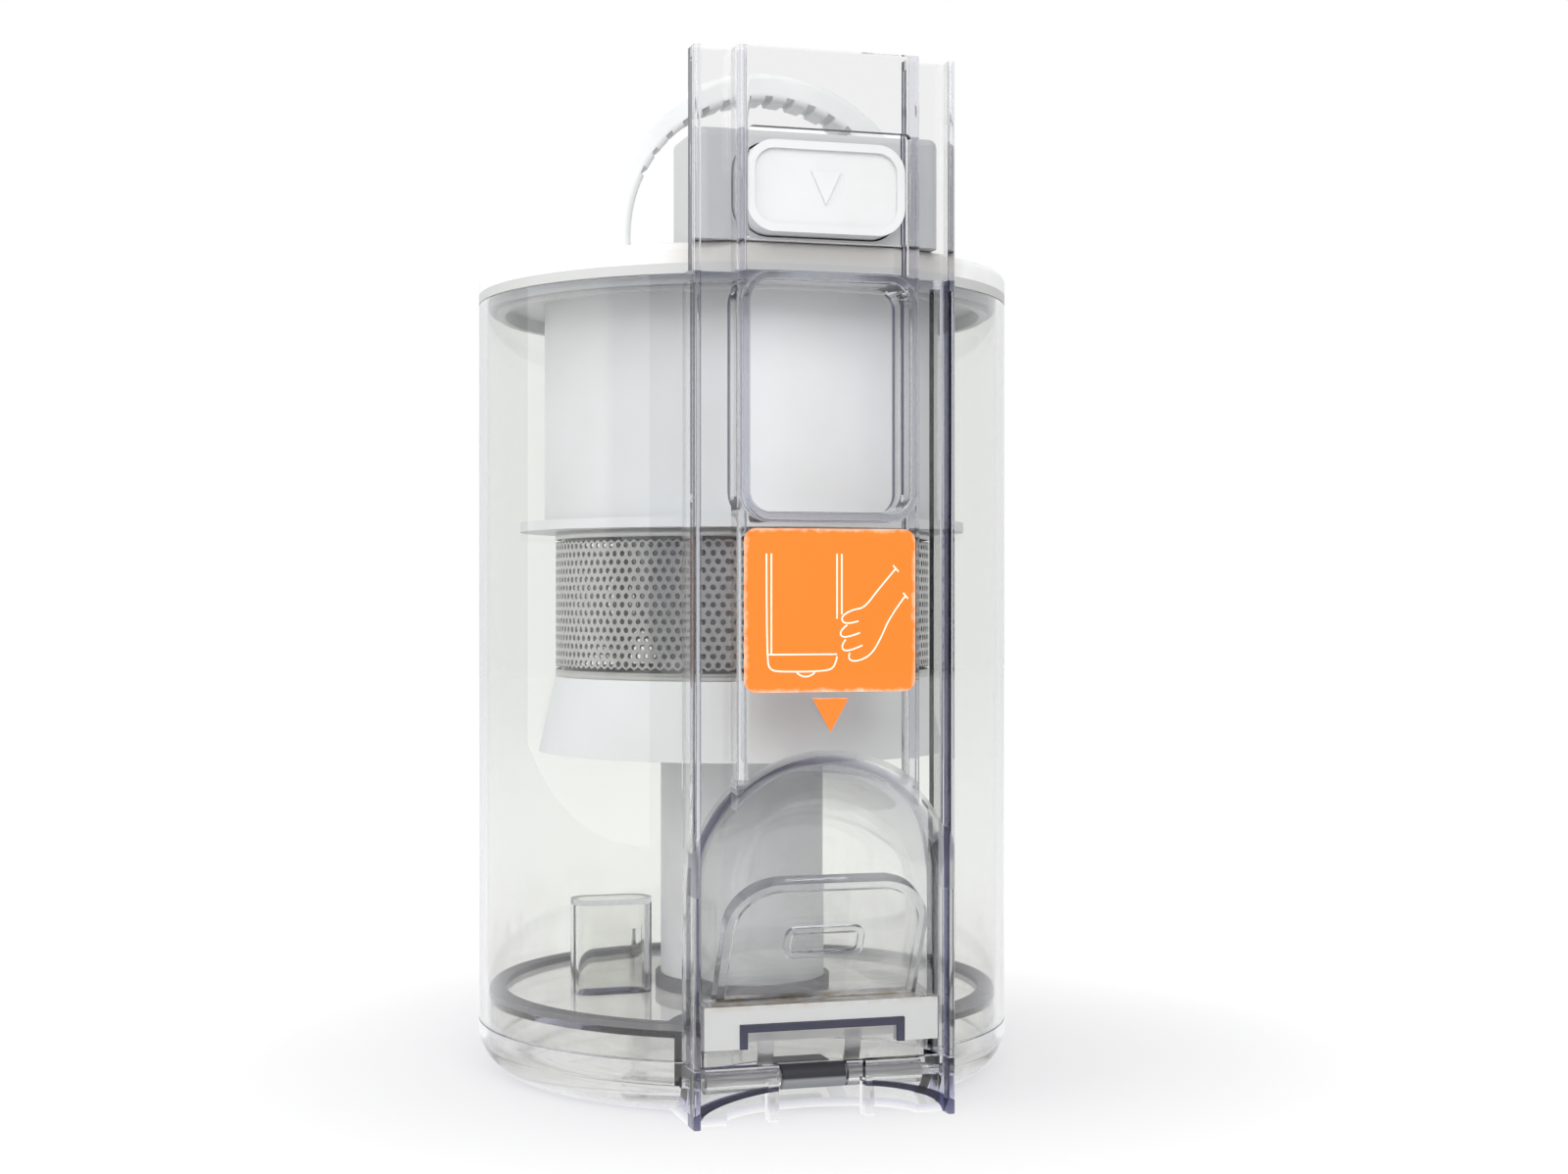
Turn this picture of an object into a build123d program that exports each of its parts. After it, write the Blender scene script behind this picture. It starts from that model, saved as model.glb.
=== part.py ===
"""Cyclone dust bin of a bagless vacuum cleaner: clear drum with a flat front spine, hinged floor door,
pull lever, and a lift-out lid that carries the cyclone, the carrying handle and the release button.

Millimetres, +Z up. The drum's axis is Z, the spine faces -Y and the door stands on Z = 0.
"""
import os
from math import sqrt

from build123d import *

os.makedirs("parts", exist_ok=True)

# Drum
drum_r = 71.0
wall = 2.2
seam_z = 14.0
rim_z = 204.0

# Spine on the front of the drum
spine_top_z = 257.0
spine_half = 33.0
panel_half = 23.0
panel_step = 6.0
panel_corner = 1.2
lip_depth = 3.5
lip_wall = 1.8
lip_edge = 0.7

# Inlet window in the spine
inlet_w = 40.0
inlet_h = 55.0
inlet_z = 174.0
inlet_corner = 5.0
frame_w = 2.4
frame_proud = 1.0
frame_edge = 0.8
duct_depth = 12.0

# Finger scoop in the foot of the spine
scoop_spring_z = 55.0
scoop_edge = 2.0

# Labels on the spine
label_w = 43.0
label_h = 39.0
label_z = 123.0
label_corner = 3.0
label_wall = 0.3
arrow_w = 9.0
arrow_h = 8.0
arrow_z = 98.0

# Hinge of the door
hinge_out = 7.0
hinge_drop = 1.0
hinge_eye_r = 4.5
hinge_pin_r = 1.6
hinge_ear_wall = 4.0
hinge_ear_height = 14.0
knuckle_half = 10.0

# Door
door_corner = 11.5
shoulder_z = 8.0
shoulder_w = 2.4
shoulder_corner = 5.0
floor_z = 21.0
floor_wall = 2.0
niche_floor = 2.2
niche_mouth_half = 24.0
niche_mouth_depth = 13.0
apron_gap_half = 11.0
apron_arch_h = 8.0
apron_cheek_d = 4.4
apron_cheek_h = 9.0
seal_w = 4.4
seal_h = 1.6
fin_reach = 47.0
fin_start = 25.5
fin_w = 12.0
fin_top_z = 46.0
fin_wall = 1.6

# Release lever
lever_set = 9.0
lever_pivot_z = 9.0
lever_barrel_r = 3.2
lever_pin_r = 1.5
lever_wall = 2.4
ledge_low_z = 18.0
ledge_top_z = 28.5
ledge_notch_half = 19.0
ledge_notch_h = 4.0
notch_rim = 1.8
notch_rim_proud = 0.9
tab_half = 25.5
tab_length = 34.0
tab_corner = 13.0
tab_lean = 25.0
tab_bead = 2.2
tab_bead_proud = 1.6
boss_w = 20.0
boss_h = 8.4
boss_corner = 2.6
boss_rim = 1.5
boss_proud = 1.4
catch_half = 8.0
catch_reach = 17.0
catch_h = 6.0
leaf_r = 17.0
leaf_wall = 0.6
leaf_w = 4.0
leaf_x = 11.2

# Lid
lid_wall = 2.5
lid_h = 8.0
lid_edge = 2.0
lid_skirt = 3.0
lid_skirt_wall = 2.2
lid_seal_w = 2.1
lid_seal_h = 2.2
outlet_r = 18.0
outlet_bar = 2.4

# Carrying handle
handle_y = 20.0
handle_inset = 3.4
handle_centre_z = 219.0
handle_t = 7.5
handle_w = 11.0
handle_corner = 2.0
handle_foot_w = 16.0
handle_foot_h = 4.0
rib_count = 15
rib_pitch = 9.0
rib_gap = 2.2
rib_depth = 1.4

# Button housing on the lid
housing_half = 31.0
housing_h = 27.0
housing_depth = 24.0
housing_corner = 3.0
housing_edge = 2.0
pocket_depth = 13.0

# Release button
window_h = 27.0
window_corner = 1.5
button_w = 40.0
button_h = 22.0
button_up = 12.5
button_corner = 7.0
button_rim = 2.0
button_recess = 1.0
button_wall = 2.0
button_skirt = 7.0
mark_w = 7.5
mark_h = 8.0
mark_proud = 0.5
bow_half = 13.0
bow_w = 6.0

# Cyclone
dust_gap = 17.6
shroud_wall = 2.0
shroud_low_z = 143.5
shroud_ledge_w = 6.6
shroud_ledge = 2.5
mesh_set = 2.9
mesh_wall = 0.8
mesh_low_z = 105.0
mesh_columns = 30
mesh_rows = 4
mesh_gap = 5.4
skirt_low_z = 85.0
skirt_flare = 4.5
skirt_wall = 2.0
skirt_web_z = 98.0
cage_posts = 6
cage_post_w = 4.0
cage_post_d = 2.4
tube_r = 22.0
tube_wall = 2.0
tube_low_z = 25.0
tube_seal_w = 1.5
spigot = 8.0
cone_gap = 13.4
cone_shoulder_z = 160.0
cone_wall = 1.8
vortex_r = 16.0
vortex_low_z = 150.0
vortex_flange_w = 7.0

# Screws
screw_r = 1.6
screw_head_r = 3.0
screw_head_h = 2.0
handle_screw_bite = 8.0
housing_screw_bite = 6.0
housing_screw_x = 20.0

# Clearances
seat_gap = 0.4
seam_gap = 0.3
rim_gap = 0.3
floor_gap = 0.8
seal_gap = 0.55
lever_gap = 0.7
button_gap = 0.5
turn_gap = 0.05

# Places that follow from the sizes above
flange_y = drum_r
panel_y = flange_y + panel_step
drum_in = drum_r - wall
scoop_half = spine_half - wall
scoop_axis_y = flange_y
door_top = seam_z - seam_gap
hinge_y = drum_r + hinge_out
hinge_z = seam_z - hinge_drop
lever_pivot_y = flange_y - lever_set
lid_under = rim_z + rim_gap
lid_joint = lid_under + lid_wall
lid_top = rim_z + lid_h
skirt_r = drum_in - seat_gap - lid_seal_w
shroud_r = drum_r - dust_gap
shroud_in = shroud_r - shroud_wall
shroud_foot = shroud_low_z + shroud_ledge
mesh_r = shroud_r - mesh_set
cone_top_r = shroud_in - cone_gap
button_z = lid_top + button_up
button_front = panel_y - wall - seat_gap
housing_front = flange_y - wall - seat_gap
housing_back = housing_front - housing_depth
pocket_back = housing_front - pocket_depth
handle_ring = shroud_in - screw_head_r - handle_inset
handle_r = sqrt(handle_ring**2 - handle_y**2)
housing_ring = (shroud_r + skirt_r - lid_skirt_wall) / 2
housing_screw_y = sqrt(housing_ring**2 - housing_screw_x**2)


def drum_outline(inset):
    """Plan of the drum with its stepped spine, moved inwards by a wall."""
    with BuildSketch() as outline:
        Circle(drum_r - inset)
        with Locations((0, -(flange_y - inset) / 2)):
            Rectangle(2 * (spine_half - inset), flange_y - inset)
        with Locations((0, -(panel_y - inset) / 2)):
            RectangleRounded(2 * (panel_half - inset), panel_y - inset, panel_corner)
    return outline.sketch


def niche_outline(grow):
    """Plan of the finger scoop: straight sides from the front and a half-round back."""
    half = scoop_half + grow
    reach = panel_y + lip_depth - scoop_axis_y
    with BuildSketch() as outline:
        with Locations((0, -scoop_axis_y)):
            Circle(half)
        with Locations((0, -scoop_axis_y - reach / 2)):
            Rectangle(2 * half, reach)
    return outline.sketch


def floor_outline(inset):
    """Plan of the dust chamber round the finger scoop, moved inwards from its walls."""
    with BuildSketch() as outline:
        Circle(drum_in - inset)
        add(niche_outline(wall + inset), mode=Mode.SUBTRACT)
    return outline.sketch


def scoop_body(grow):
    """The arched finger scoop with its domed back, made larger by a wall."""
    half = scoop_half + grow
    front = Plane.XZ.offset(scoop_axis_y)
    with BuildPart() as scoop:
        with BuildSketch(front) as arch:
            with BuildLine():
                Line((0, seam_z), (half, seam_z))
                Line((half, seam_z), (half, scoop_spring_z))
                CenterArc((0, scoop_spring_z), half, 0, 90)
                Line((0, scoop_spring_z + half), (0, seam_z))
            make_face()
        revolve(axis=Axis((0, -scoop_axis_y, 0), (0, 0, 1)), revolution_arc=180)
        with BuildSketch(front):
            add(arch.sketch_local)
            mirror(about=Plane.YZ)
        extrude(amount=panel_y + lip_depth - scoop_axis_y)
    return scoop.part


def lip_outline():
    """Plan of the two lips that edge the spine."""
    with BuildSketch() as outline:
        with Locations((0, -flange_y - lip_depth / 2 + wall / 2)):
            Rectangle(2 * spine_half, lip_depth + wall)
            Rectangle(2 * (spine_half - lip_wall), lip_depth + wall, mode=Mode.SUBTRACT)
        fillet(outline.vertices().group_by(Axis.Y)[0], lip_edge)
    return outline.sketch


# Bin shell: drum, spine, inlet frame, button window and finger scoop in one clear moulding
with BuildPart() as drum_solid:
    with BuildSketch(Plane.XY.offset(seam_z)):
        add(drum_outline(0))
    extrude(amount=rim_z - seam_z)

with BuildPart() as scoop_wall:
    add(scoop_body(wall))
    add(drum_solid.part, mode=Mode.INTERSECT)

with BuildPart() as bin_shell:
    add(drum_solid.part)
    with BuildSketch(Plane.XY.offset(seam_z)):
        add(drum_outline(wall))
    extrude(amount=rim_z - seam_z, mode=Mode.SUBTRACT)
    # Shelf that closes the spine at the rim and carries the lid's seal on past it
    with BuildSketch(Plane.XY.offset(rim_z - wall)):
        add(drum_outline(0))
        Circle(drum_in, mode=Mode.SUBTRACT)
    extrude(amount=wall)
    # Spine plate above the rim
    with BuildSketch(Plane.XY.offset(rim_z)):
        add(drum_outline(0))
        add(drum_outline(wall), mode=Mode.SUBTRACT)
        with Locations((0, -flange_y)):
            Rectangle(2 * spine_half, 2 * panel_step, mode=Mode.INTERSECT)
        with Locations((0, -flange_y + wall + panel_step / 2)):
            Rectangle(2 * spine_half, panel_step, mode=Mode.SUBTRACT)
    extrude(amount=spine_top_z - rim_z)
    with BuildSketch(Plane.XY.offset(seam_z)):
        add(lip_outline())
    extrude(amount=spine_top_z - seam_z)
    # Finger scoop
    add(scoop_wall.part)
    add(scoop_body(0), mode=Mode.SUBTRACT)
    # Inlet frame and duct
    with BuildSketch(Plane.XZ.offset(panel_y + frame_proud)):
        with Locations((0, inlet_z)):
            RectangleRounded(inlet_w + 2 * frame_w, inlet_h + 2 * frame_w, inlet_corner + frame_w)
    extrude(amount=-frame_proud - duct_depth)
    with BuildSketch(Plane.XZ.offset(panel_y + frame_proud)):
        with Locations((0, inlet_z)):
            RectangleRounded(inlet_w, inlet_h, inlet_corner)
    extrude(amount=-frame_proud - duct_depth, mode=Mode.SUBTRACT)
    with BuildSketch(Plane.XY.offset(rim_z - lid_skirt - seat_gap)):
        Circle(drum_in)
    extrude(amount=lid_skirt + seat_gap, mode=Mode.SUBTRACT)
    # Button window
    with BuildSketch(Plane.XZ.offset(panel_y)):
        with Locations((0, button_z)):
            RectangleRounded(button_w + 2 * button_gap, window_h, window_corner)
    extrude(amount=-wall, mode=Mode.SUBTRACT)
    # Rounded front edge of the inlet frame
    fillet(bin_shell.faces().filter_by(Plane.XZ).sort_by(Axis.Y)[0].edges(), frame_edge)
    # Rounded front edge of the scoop's arch
    with BuildSketch(Plane.YZ):
        with BuildLine():
            arch_z = scoop_spring_z + scoop_half
            edge_y = -panel_y + scoop_edge
            Line((edge_y, arch_z), (edge_y, arch_z - scoop_edge))
            Line((edge_y, arch_z - scoop_edge), (edge_y - 2 * scoop_edge, arch_z - scoop_edge))
            Line((edge_y - 2 * scoop_edge, arch_z - scoop_edge), (edge_y - 2 * scoop_edge, arch_z + scoop_edge))
            Line((edge_y - 2 * scoop_edge, arch_z + scoop_edge), (-panel_y, arch_z + scoop_edge))
            CenterArc((edge_y, arch_z + scoop_edge), scoop_edge, 180, 90)
        make_face()
    revolve(axis=Axis((0, 0, scoop_spring_z), (0, 1, 0)), revolution_arc=360, mode=Mode.SUBTRACT)
    # Hinge ears at the rear
    for side in (-1, 1):
        ear_x = side * (knuckle_half + seat_gap + hinge_ear_wall / 2)
        with BuildSketch(Plane.YZ.offset(ear_x)):
            with Locations((hinge_y, hinge_z)):
                Circle(hinge_eye_r)
            with BuildLine():
                Polyline(
                    (drum_in + wall / 2, seam_z),
                    (hinge_y, hinge_z),
                    (hinge_y + hinge_eye_r, hinge_z),
                    (drum_in + wall / 2, hinge_z + hinge_ear_height),
                    close=True,
                )
            make_face()
            with Locations((hinge_y, hinge_z)):
                Circle(hinge_pin_r + turn_gap, mode=Mode.SUBTRACT)
        extrude(amount=hinge_ear_wall / 2, both=True)
bin_shell.part.label = "bin_shell"
export_step(bin_shell.part, "parts/bin_shell.step")

# Stickers on the raised panel
with BuildPart() as emptying_label:
    with BuildSketch(Plane.XZ.offset(panel_y)):
        with Locations((0, label_z)):
            RectangleRounded(label_w, label_h, label_corner)
    extrude(amount=label_wall)
emptying_label.part.label = "emptying_label"
export_step(emptying_label.part, "parts/emptying_label.step")

with BuildPart() as arrow_label:
    with BuildSketch(Plane.XZ.offset(panel_y)):
        with BuildLine():
            Polyline(
                (-arrow_w / 2, arrow_z + arrow_h / 2),
                (arrow_w / 2, arrow_z + arrow_h / 2),
                (0, arrow_z - arrow_h / 2),
                close=True,
            )
        make_face()
    extrude(amount=label_wall)
arrow_label.part.label = "arrow_label"
export_step(arrow_label.part, "parts/arrow_label.step")

# Door dish: rounded bowl with the spine's cheeks, a niche for the lever and the hinge knuckle
with BuildPart() as dish_solid:
    Cylinder(drum_r, door_top, align=(Align.CENTER, Align.CENTER, Align.MIN))
    fillet(dish_solid.edges().group_by(Axis.Z)[0], door_corner)
    with BuildSketch():
        with Locations((0, -flange_y / 2)):
            Rectangle(2 * spine_half, flange_y)
        add(lip_outline())
    extrude(amount=door_top)

with BuildPart() as niche_wall:
    with BuildSketch():
        add(niche_outline(wall))
    extrude(amount=door_top)
    add(dish_solid.part, mode=Mode.INTERSECT)

with BuildPart() as dish_hollow:
    with Locations((0, 0, niche_floor)):
        Cylinder(drum_in - shoulder_w, door_top, align=(Align.CENTER, Align.CENTER, Align.MIN))
    fillet(dish_hollow.edges().group_by(Axis.Z)[0], shoulder_corner)
    with Locations((0, 0, shoulder_z)):
        Cylinder(drum_in, door_top, align=(Align.CENTER, Align.CENTER, Align.MIN))

with BuildPart() as door_dish:
    add(dish_solid.part)
    add(dish_hollow.part, mode=Mode.SUBTRACT)
    add(niche_wall.part)
    with BuildSketch(Plane.XY.offset(niche_floor)):
        add(niche_outline(0))
    extrude(amount=door_top, mode=Mode.SUBTRACT)
    # Arched front edge of the niche's floor
    with BuildSketch():
        with Locations((0, -flange_y)):
            Ellipse(niche_mouth_half, niche_mouth_depth)
    extrude(amount=niche_floor, mode=Mode.SUBTRACT)
    # Apron across the front of the niche, open in the middle and arched along its lower edge
    with BuildSketch(Plane.XZ.offset(flange_y)):
        with Locations((0, door_top / 2)):
            Rectangle(2 * spine_half, door_top)
            Rectangle(2 * apron_gap_half, door_top, mode=Mode.SUBTRACT)
        Ellipse(spine_half - lip_wall, apron_arch_h, mode=Mode.SUBTRACT)
    extrude(amount=-wall)
    # Short cheeks along the sides of the apron's gap
    with BuildSketch():
        for side in (-1, 1):
            with Locations((side * (apron_gap_half + wall / 2), -flange_y + apron_cheek_d / 2)):
                Rectangle(wall, apron_cheek_d)
    extrude(amount=apron_cheek_h)
    # Holes of the lever pin in the cheeks
    with BuildSketch(Plane.YZ):
        with Locations((-lever_pivot_y, lever_pivot_z)):
            Circle(lever_pin_r)
    extrude(amount=spine_half, both=True, mode=Mode.SUBTRACT)
    # Hinge knuckle
    with BuildSketch(Plane.YZ):
        with Locations((hinge_y, hinge_z)):
            Circle(hinge_eye_r)
        with BuildLine():
            Polyline(
                (drum_in + wall / 2, door_top),
                (hinge_y, door_top),
                (hinge_y, hinge_z - hinge_eye_r),
                (drum_in + wall / 2, hinge_z - hinge_eye_r),
                close=True,
            )
        make_face()
        with Locations((hinge_y, hinge_z)):
            Circle(hinge_pin_r, mode=Mode.SUBTRACT)
    extrude(amount=knuckle_half, both=True)
door_dish.part.label = "door_dish"
export_step(door_dish.part, "parts/door_dish.step")

# Door plate: inner floor of the dust chamber with the hollow fin that stops the dust from swirling
fin_mid = -(fin_start + fin_reach) / 2
fin_length = fin_reach - fin_start
with BuildPart() as door_plate:
    with BuildSketch(Plane.XY.offset(shoulder_z)):
        add(floor_outline(floor_gap))
    extrude(amount=floor_z - shoulder_z)
    with BuildSketch(Plane.XY.offset(floor_z)):
        with Locations((fin_mid, 0)):
            RectangleRounded(fin_length, fin_w, fin_w / 2 - fin_wall / 2)
    extrude(amount=fin_top_z - floor_z)
    with BuildSketch(Plane.XY.offset(shoulder_z)):
        add(floor_outline(floor_gap + floor_wall))
    extrude(amount=floor_z - floor_wall - shoulder_z, mode=Mode.SUBTRACT)
    with BuildSketch(Plane.XY.offset(shoulder_z)):
        with Locations((fin_mid, 0)):
            RectangleRounded(fin_length - 2 * fin_wall, fin_w - 2 * fin_wall, fin_w / 2 - 1.5 * fin_wall)
    extrude(amount=fin_top_z - fin_wall - shoulder_z, mode=Mode.SUBTRACT)
door_plate.part.label = "door_plate"
export_step(door_plate.part, "parts/door_plate.step")

# Door seal: flat rubber band on the edge of the floor, round the scoop too
with BuildPart() as door_seal:
    with BuildSketch(Plane.XY.offset(floor_z)):
        add(floor_outline(seal_gap))
        add(floor_outline(seal_gap + seal_w), mode=Mode.SUBTRACT)
    extrude(amount=seal_h)
door_seal.part.label = "door_seal"
export_step(door_seal.part, "parts/door_seal.step")

# Pins of the door hinge and of the lever
with BuildPart() as hinge_pin:
    with BuildSketch(Plane.YZ):
        with Locations((hinge_y, hinge_z)):
            Circle(hinge_pin_r)
    extrude(amount=knuckle_half + seat_gap + hinge_ear_wall, both=True)
hinge_pin.part.label = "hinge_pin"
export_step(hinge_pin.part, "parts/hinge_pin.step")

with BuildPart() as lever_pin:
    with BuildSketch(Plane.YZ):
        with Locations((-lever_pivot_y, lever_pivot_z)):
            Circle(lever_pin_r)
    extrude(amount=spine_half, both=True)
lever_pin.part.label = "lever_pin"
export_step(lever_pin.part, "parts/lever_pin.step")

# Release lever: barrel on the pin, ledge bar and leaning D-shaped pull tab
def niche_half_at(y):
    """Half width of the niche at a distance y in front of the drum's axis, in its half-round back."""
    return sqrt(scoop_half**2 - (scoop_axis_y - y) ** 2)


lever_half = niche_half_at(lever_pivot_y - lever_barrel_r) - lever_gap
bar_half = niche_half_at(flange_y - lever_wall) - lever_gap
crease_y = lever_pivot_y + lever_wall / 2
tab_plane = Plane(origin=(0, -crease_y, ledge_top_z), x_dir=(1, 0, 0), z_dir=(0, -1, 0)).rotated((tab_lean, 0, 0))
with BuildPart() as release_lever:
    # Upright web from the barrel to the ledge
    with BuildSketch(Plane.YZ):
        with Locations((-lever_pivot_y, lever_pivot_z)):
            Circle(lever_barrel_r)
        with Locations((-lever_pivot_y, (lever_pivot_z + ledge_top_z) / 2)):
            Rectangle(lever_wall, ledge_top_z - lever_pivot_z)
        with BuildLine():
            Polyline(
                (-lever_pivot_y, ledge_top_z),
                (-flange_y, ledge_top_z),
                (-flange_y, ledge_low_z),
                (-flange_y + lever_wall, ledge_low_z),
                (-flange_y + lever_wall, ledge_top_z - lever_wall),
                (-lever_pivot_y, ledge_top_z - lever_wall),
                close=True,
            )
        make_face()
        with Locations((-lever_pivot_y, lever_pivot_z)):
            Circle(lever_pin_r + turn_gap, mode=Mode.SUBTRACT)
    extrude(amount=lever_half, both=True)
    with BuildSketch(Plane.XZ.offset(flange_y)):
        with Locations((0, (ledge_low_z + ledge_top_z) / 2)):
            Rectangle(2 * bar_half, ledge_top_z - ledge_low_z)
    extrude(amount=-lever_wall)
    # Notch in the lower edge of the ledge, with a raised rim
    with BuildSketch(Plane.XZ.offset(flange_y)):
        with Locations((0, ledge_low_z + (ledge_notch_h + notch_rim) / 2)):
            Rectangle(2 * (ledge_notch_half + notch_rim), ledge_notch_h + notch_rim)
    extrude(amount=notch_rim_proud)
    with BuildSketch(Plane.XZ.offset(flange_y - lever_wall)):
        with Locations((0, ledge_low_z + ledge_notch_h / 2)):
            Rectangle(2 * ledge_notch_half, ledge_notch_h)
    extrude(amount=lever_wall + notch_rim_proud, mode=Mode.SUBTRACT)
    # Gap in the barrel for the catch arm
    with Locations((0, -lever_pivot_y, lever_pivot_z)):
        Box(
            2 * (catch_half + lever_gap),
            2 * lever_barrel_r,
            2 * lever_barrel_r,
            mode=Mode.SUBTRACT,
        )
    # Pull tab with a beaded edge and a small raised ring for grip
    with BuildSketch(tab_plane) as tab_face:
        with Locations((0, tab_length / 2)):
            Rectangle(2 * tab_half, tab_length)
        fillet(tab_face.vertices().group_by(Axis.Y)[-1], tab_corner)
    extrude(amount=lever_wall / 2, both=True)
    with BuildSketch(tab_plane.offset(-lever_wall / 2)):
        add(tab_face.sketch_local)
        offset(tab_face.sketch_local, amount=-tab_bead, mode=Mode.SUBTRACT)
    extrude(amount=lever_wall + tab_bead_proud)
    with BuildSketch(tab_plane.offset(lever_wall / 2)):
        with Locations((0, tab_length / 2)):
            RectangleRounded(boss_w, boss_h, boss_corner)
            RectangleRounded(
                boss_w - 2 * boss_rim, boss_h - 2 * boss_rim, boss_corner - boss_rim, mode=Mode.SUBTRACT
            )
    extrude(amount=boss_proud)
release_lever.part.label = "release_lever"
export_step(release_lever.part, "parts/release_lever.step")

# Catch arm behind the ledge bar
with BuildPart() as latch_catch:
    with BuildSketch(Plane.YZ):
        with Locations((-lever_pivot_y, lever_pivot_z)):
            Circle(lever_barrel_r)
        with Locations((-lever_pivot_y + catch_reach / 2, lever_pivot_z)):
            Rectangle(catch_reach, lever_wall)
        with Locations((-lever_pivot_y + catch_reach, lever_pivot_z - catch_h / 2 + lever_wall / 2)):
            Rectangle(lever_wall, catch_h)
        with Locations((-lever_pivot_y, lever_pivot_z)):
            Circle(lever_pin_r + turn_gap, mode=Mode.SUBTRACT)
    extrude(amount=catch_half, both=True)
latch_catch.part.label = "latch_catch"
export_step(latch_catch.part, "parts/latch_catch.step")

# Leaf springs that press the lever home
with BuildPart() as lever_springs:
    leaf_y = lever_pivot_y - lever_wall / 2 - seam_gap - leaf_r
    leaf_z = niche_floor + leaf_r
    for side in (-1, 1):
        with BuildSketch(Plane.YZ.offset(side * leaf_x)):
            with Locations((-leaf_y, leaf_z)):
                Circle(leaf_r)
                Circle(leaf_r - leaf_wall, mode=Mode.SUBTRACT)
                Rectangle(leaf_r, leaf_r, align=(Align.MAX, Align.MAX), mode=Mode.INTERSECT)
        extrude(amount=leaf_w / 2, both=True)
lever_springs.part.label = "lever_springs"
export_step(lever_springs.part, "parts/lever_springs.step")

# Lid base that sits on the rim, with the shallow plug that carries the seal
screw_places = {
    "handle": [(-handle_r, -handle_y), (handle_r, -handle_y)],
    "housing": [(-housing_screw_x, -housing_screw_y), (housing_screw_x, -housing_screw_y)],
}


def lid_outline(inset):
    """Plan of the lid: round, and cut flat behind the spine."""
    with BuildSketch() as outline:
        Circle(drum_r - inset)
        with Locations((0, -housing_front + inset)):
            Rectangle(2 * drum_r, 2 * drum_r, align=(Align.CENTER, Align.MIN), mode=Mode.INTERSECT)
    return outline.sketch


with BuildPart() as lid:
    with BuildSketch(Plane.XY.offset(lid_under)):
        add(lid_outline(0))
    extrude(amount=lid_wall)
    with BuildSketch(Plane.XY.offset(rim_z - lid_skirt)):
        Circle(skirt_r)
        Circle(skirt_r - lid_skirt_wall, mode=Mode.SUBTRACT)
    extrude(amount=lid_skirt + rim_gap)
    with BuildSketch(Plane.XY.offset(lid_under)):
        Circle(outlet_r)
        with Locations(*screw_places["handle"], *screw_places["housing"]):
            Circle(screw_r)
    extrude(amount=lid_wall, mode=Mode.SUBTRACT)
lid.part.label = "lid"
export_step(lid.part, "parts/lid.step")

# Lid cover with its rounded edge and the barred air outlet
with BuildPart() as lid_cover:
    with BuildSketch(Plane.XY.offset(lid_joint)):
        add(lid_outline(0))
    extrude(amount=lid_top - lid_joint)
    fillet(lid_cover.edges().group_by(Axis.Z)[-1], lid_edge)
    with BuildSketch(Plane.XY.offset(lid_joint)):
        add(lid_outline(wall))
        Circle(outlet_r + wall, mode=Mode.SUBTRACT)
    extrude(amount=lid_top - lid_joint - wall, mode=Mode.SUBTRACT)
    with BuildSketch(Plane.XY.offset(lid_joint)):
        Circle(outlet_r)
        Rectangle(2 * outlet_r, outlet_bar, mode=Mode.SUBTRACT)
        Rectangle(outlet_bar, 2 * outlet_r, mode=Mode.SUBTRACT)
        with Locations(*screw_places["handle"], *screw_places["housing"]):
            Circle(screw_r)
    extrude(amount=lid_top - lid_joint, mode=Mode.SUBTRACT)
lid_cover.part.label = "lid_cover"
export_step(lid_cover.part, "parts/lid_cover.step")

with BuildPart() as lid_seal:
    with BuildSketch(Plane.XY.offset(lid_under - lid_seal_h)):
        Circle(skirt_r + lid_seal_w)
        Circle(skirt_r, mode=Mode.SUBTRACT)
    extrude(amount=lid_seal_h)
lid_seal.part.label = "lid_seal"
export_step(lid_seal.part, "parts/lid_seal.step")

# Carrying handle: upright arch on two feet, grooved on its underside
with BuildPart() as handle:
    with BuildSketch(Plane.XY.offset(handle_centre_z)):
        with Locations((handle_r, -handle_y)):
            RectangleRounded(handle_t, handle_w, handle_corner)
    revolve(axis=Axis((0, -handle_y, handle_centre_z), (0, -1, 0)), revolution_arc=180)
    with BuildSketch(Plane.XY.offset(lid_top)):
        with Locations(*screw_places["handle"]):
            RectangleRounded(handle_t, handle_w, handle_corner)
    extrude(amount=handle_centre_z - lid_top)
    with BuildSketch(Plane.XY.offset(lid_top)):
        with Locations(*screw_places["handle"]):
            RectangleRounded(handle_foot_w, handle_foot_w, handle_corner)
    extrude(amount=handle_foot_h)
    with Locations(Plane((0, -handle_y, handle_centre_z), x_dir=(1, 0, 0), z_dir=(0, -1, 0))):
        with PolarLocations(
            handle_r - handle_t / 2,
            rib_count,
            start_angle=90 - rib_pitch * (rib_count - 1) / 2,
            angular_range=rib_pitch * rib_count,
        ):
            Box(2 * rib_depth, rib_gap, handle_w, mode=Mode.SUBTRACT)
    with BuildSketch(Plane.XY.offset(lid_top)):
        with Locations(*screw_places["handle"]):
            Circle(screw_r)
    extrude(amount=handle_screw_bite, mode=Mode.SUBTRACT)
handle.part.label = "handle"
export_step(handle.part, "parts/handle.step")

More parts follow.
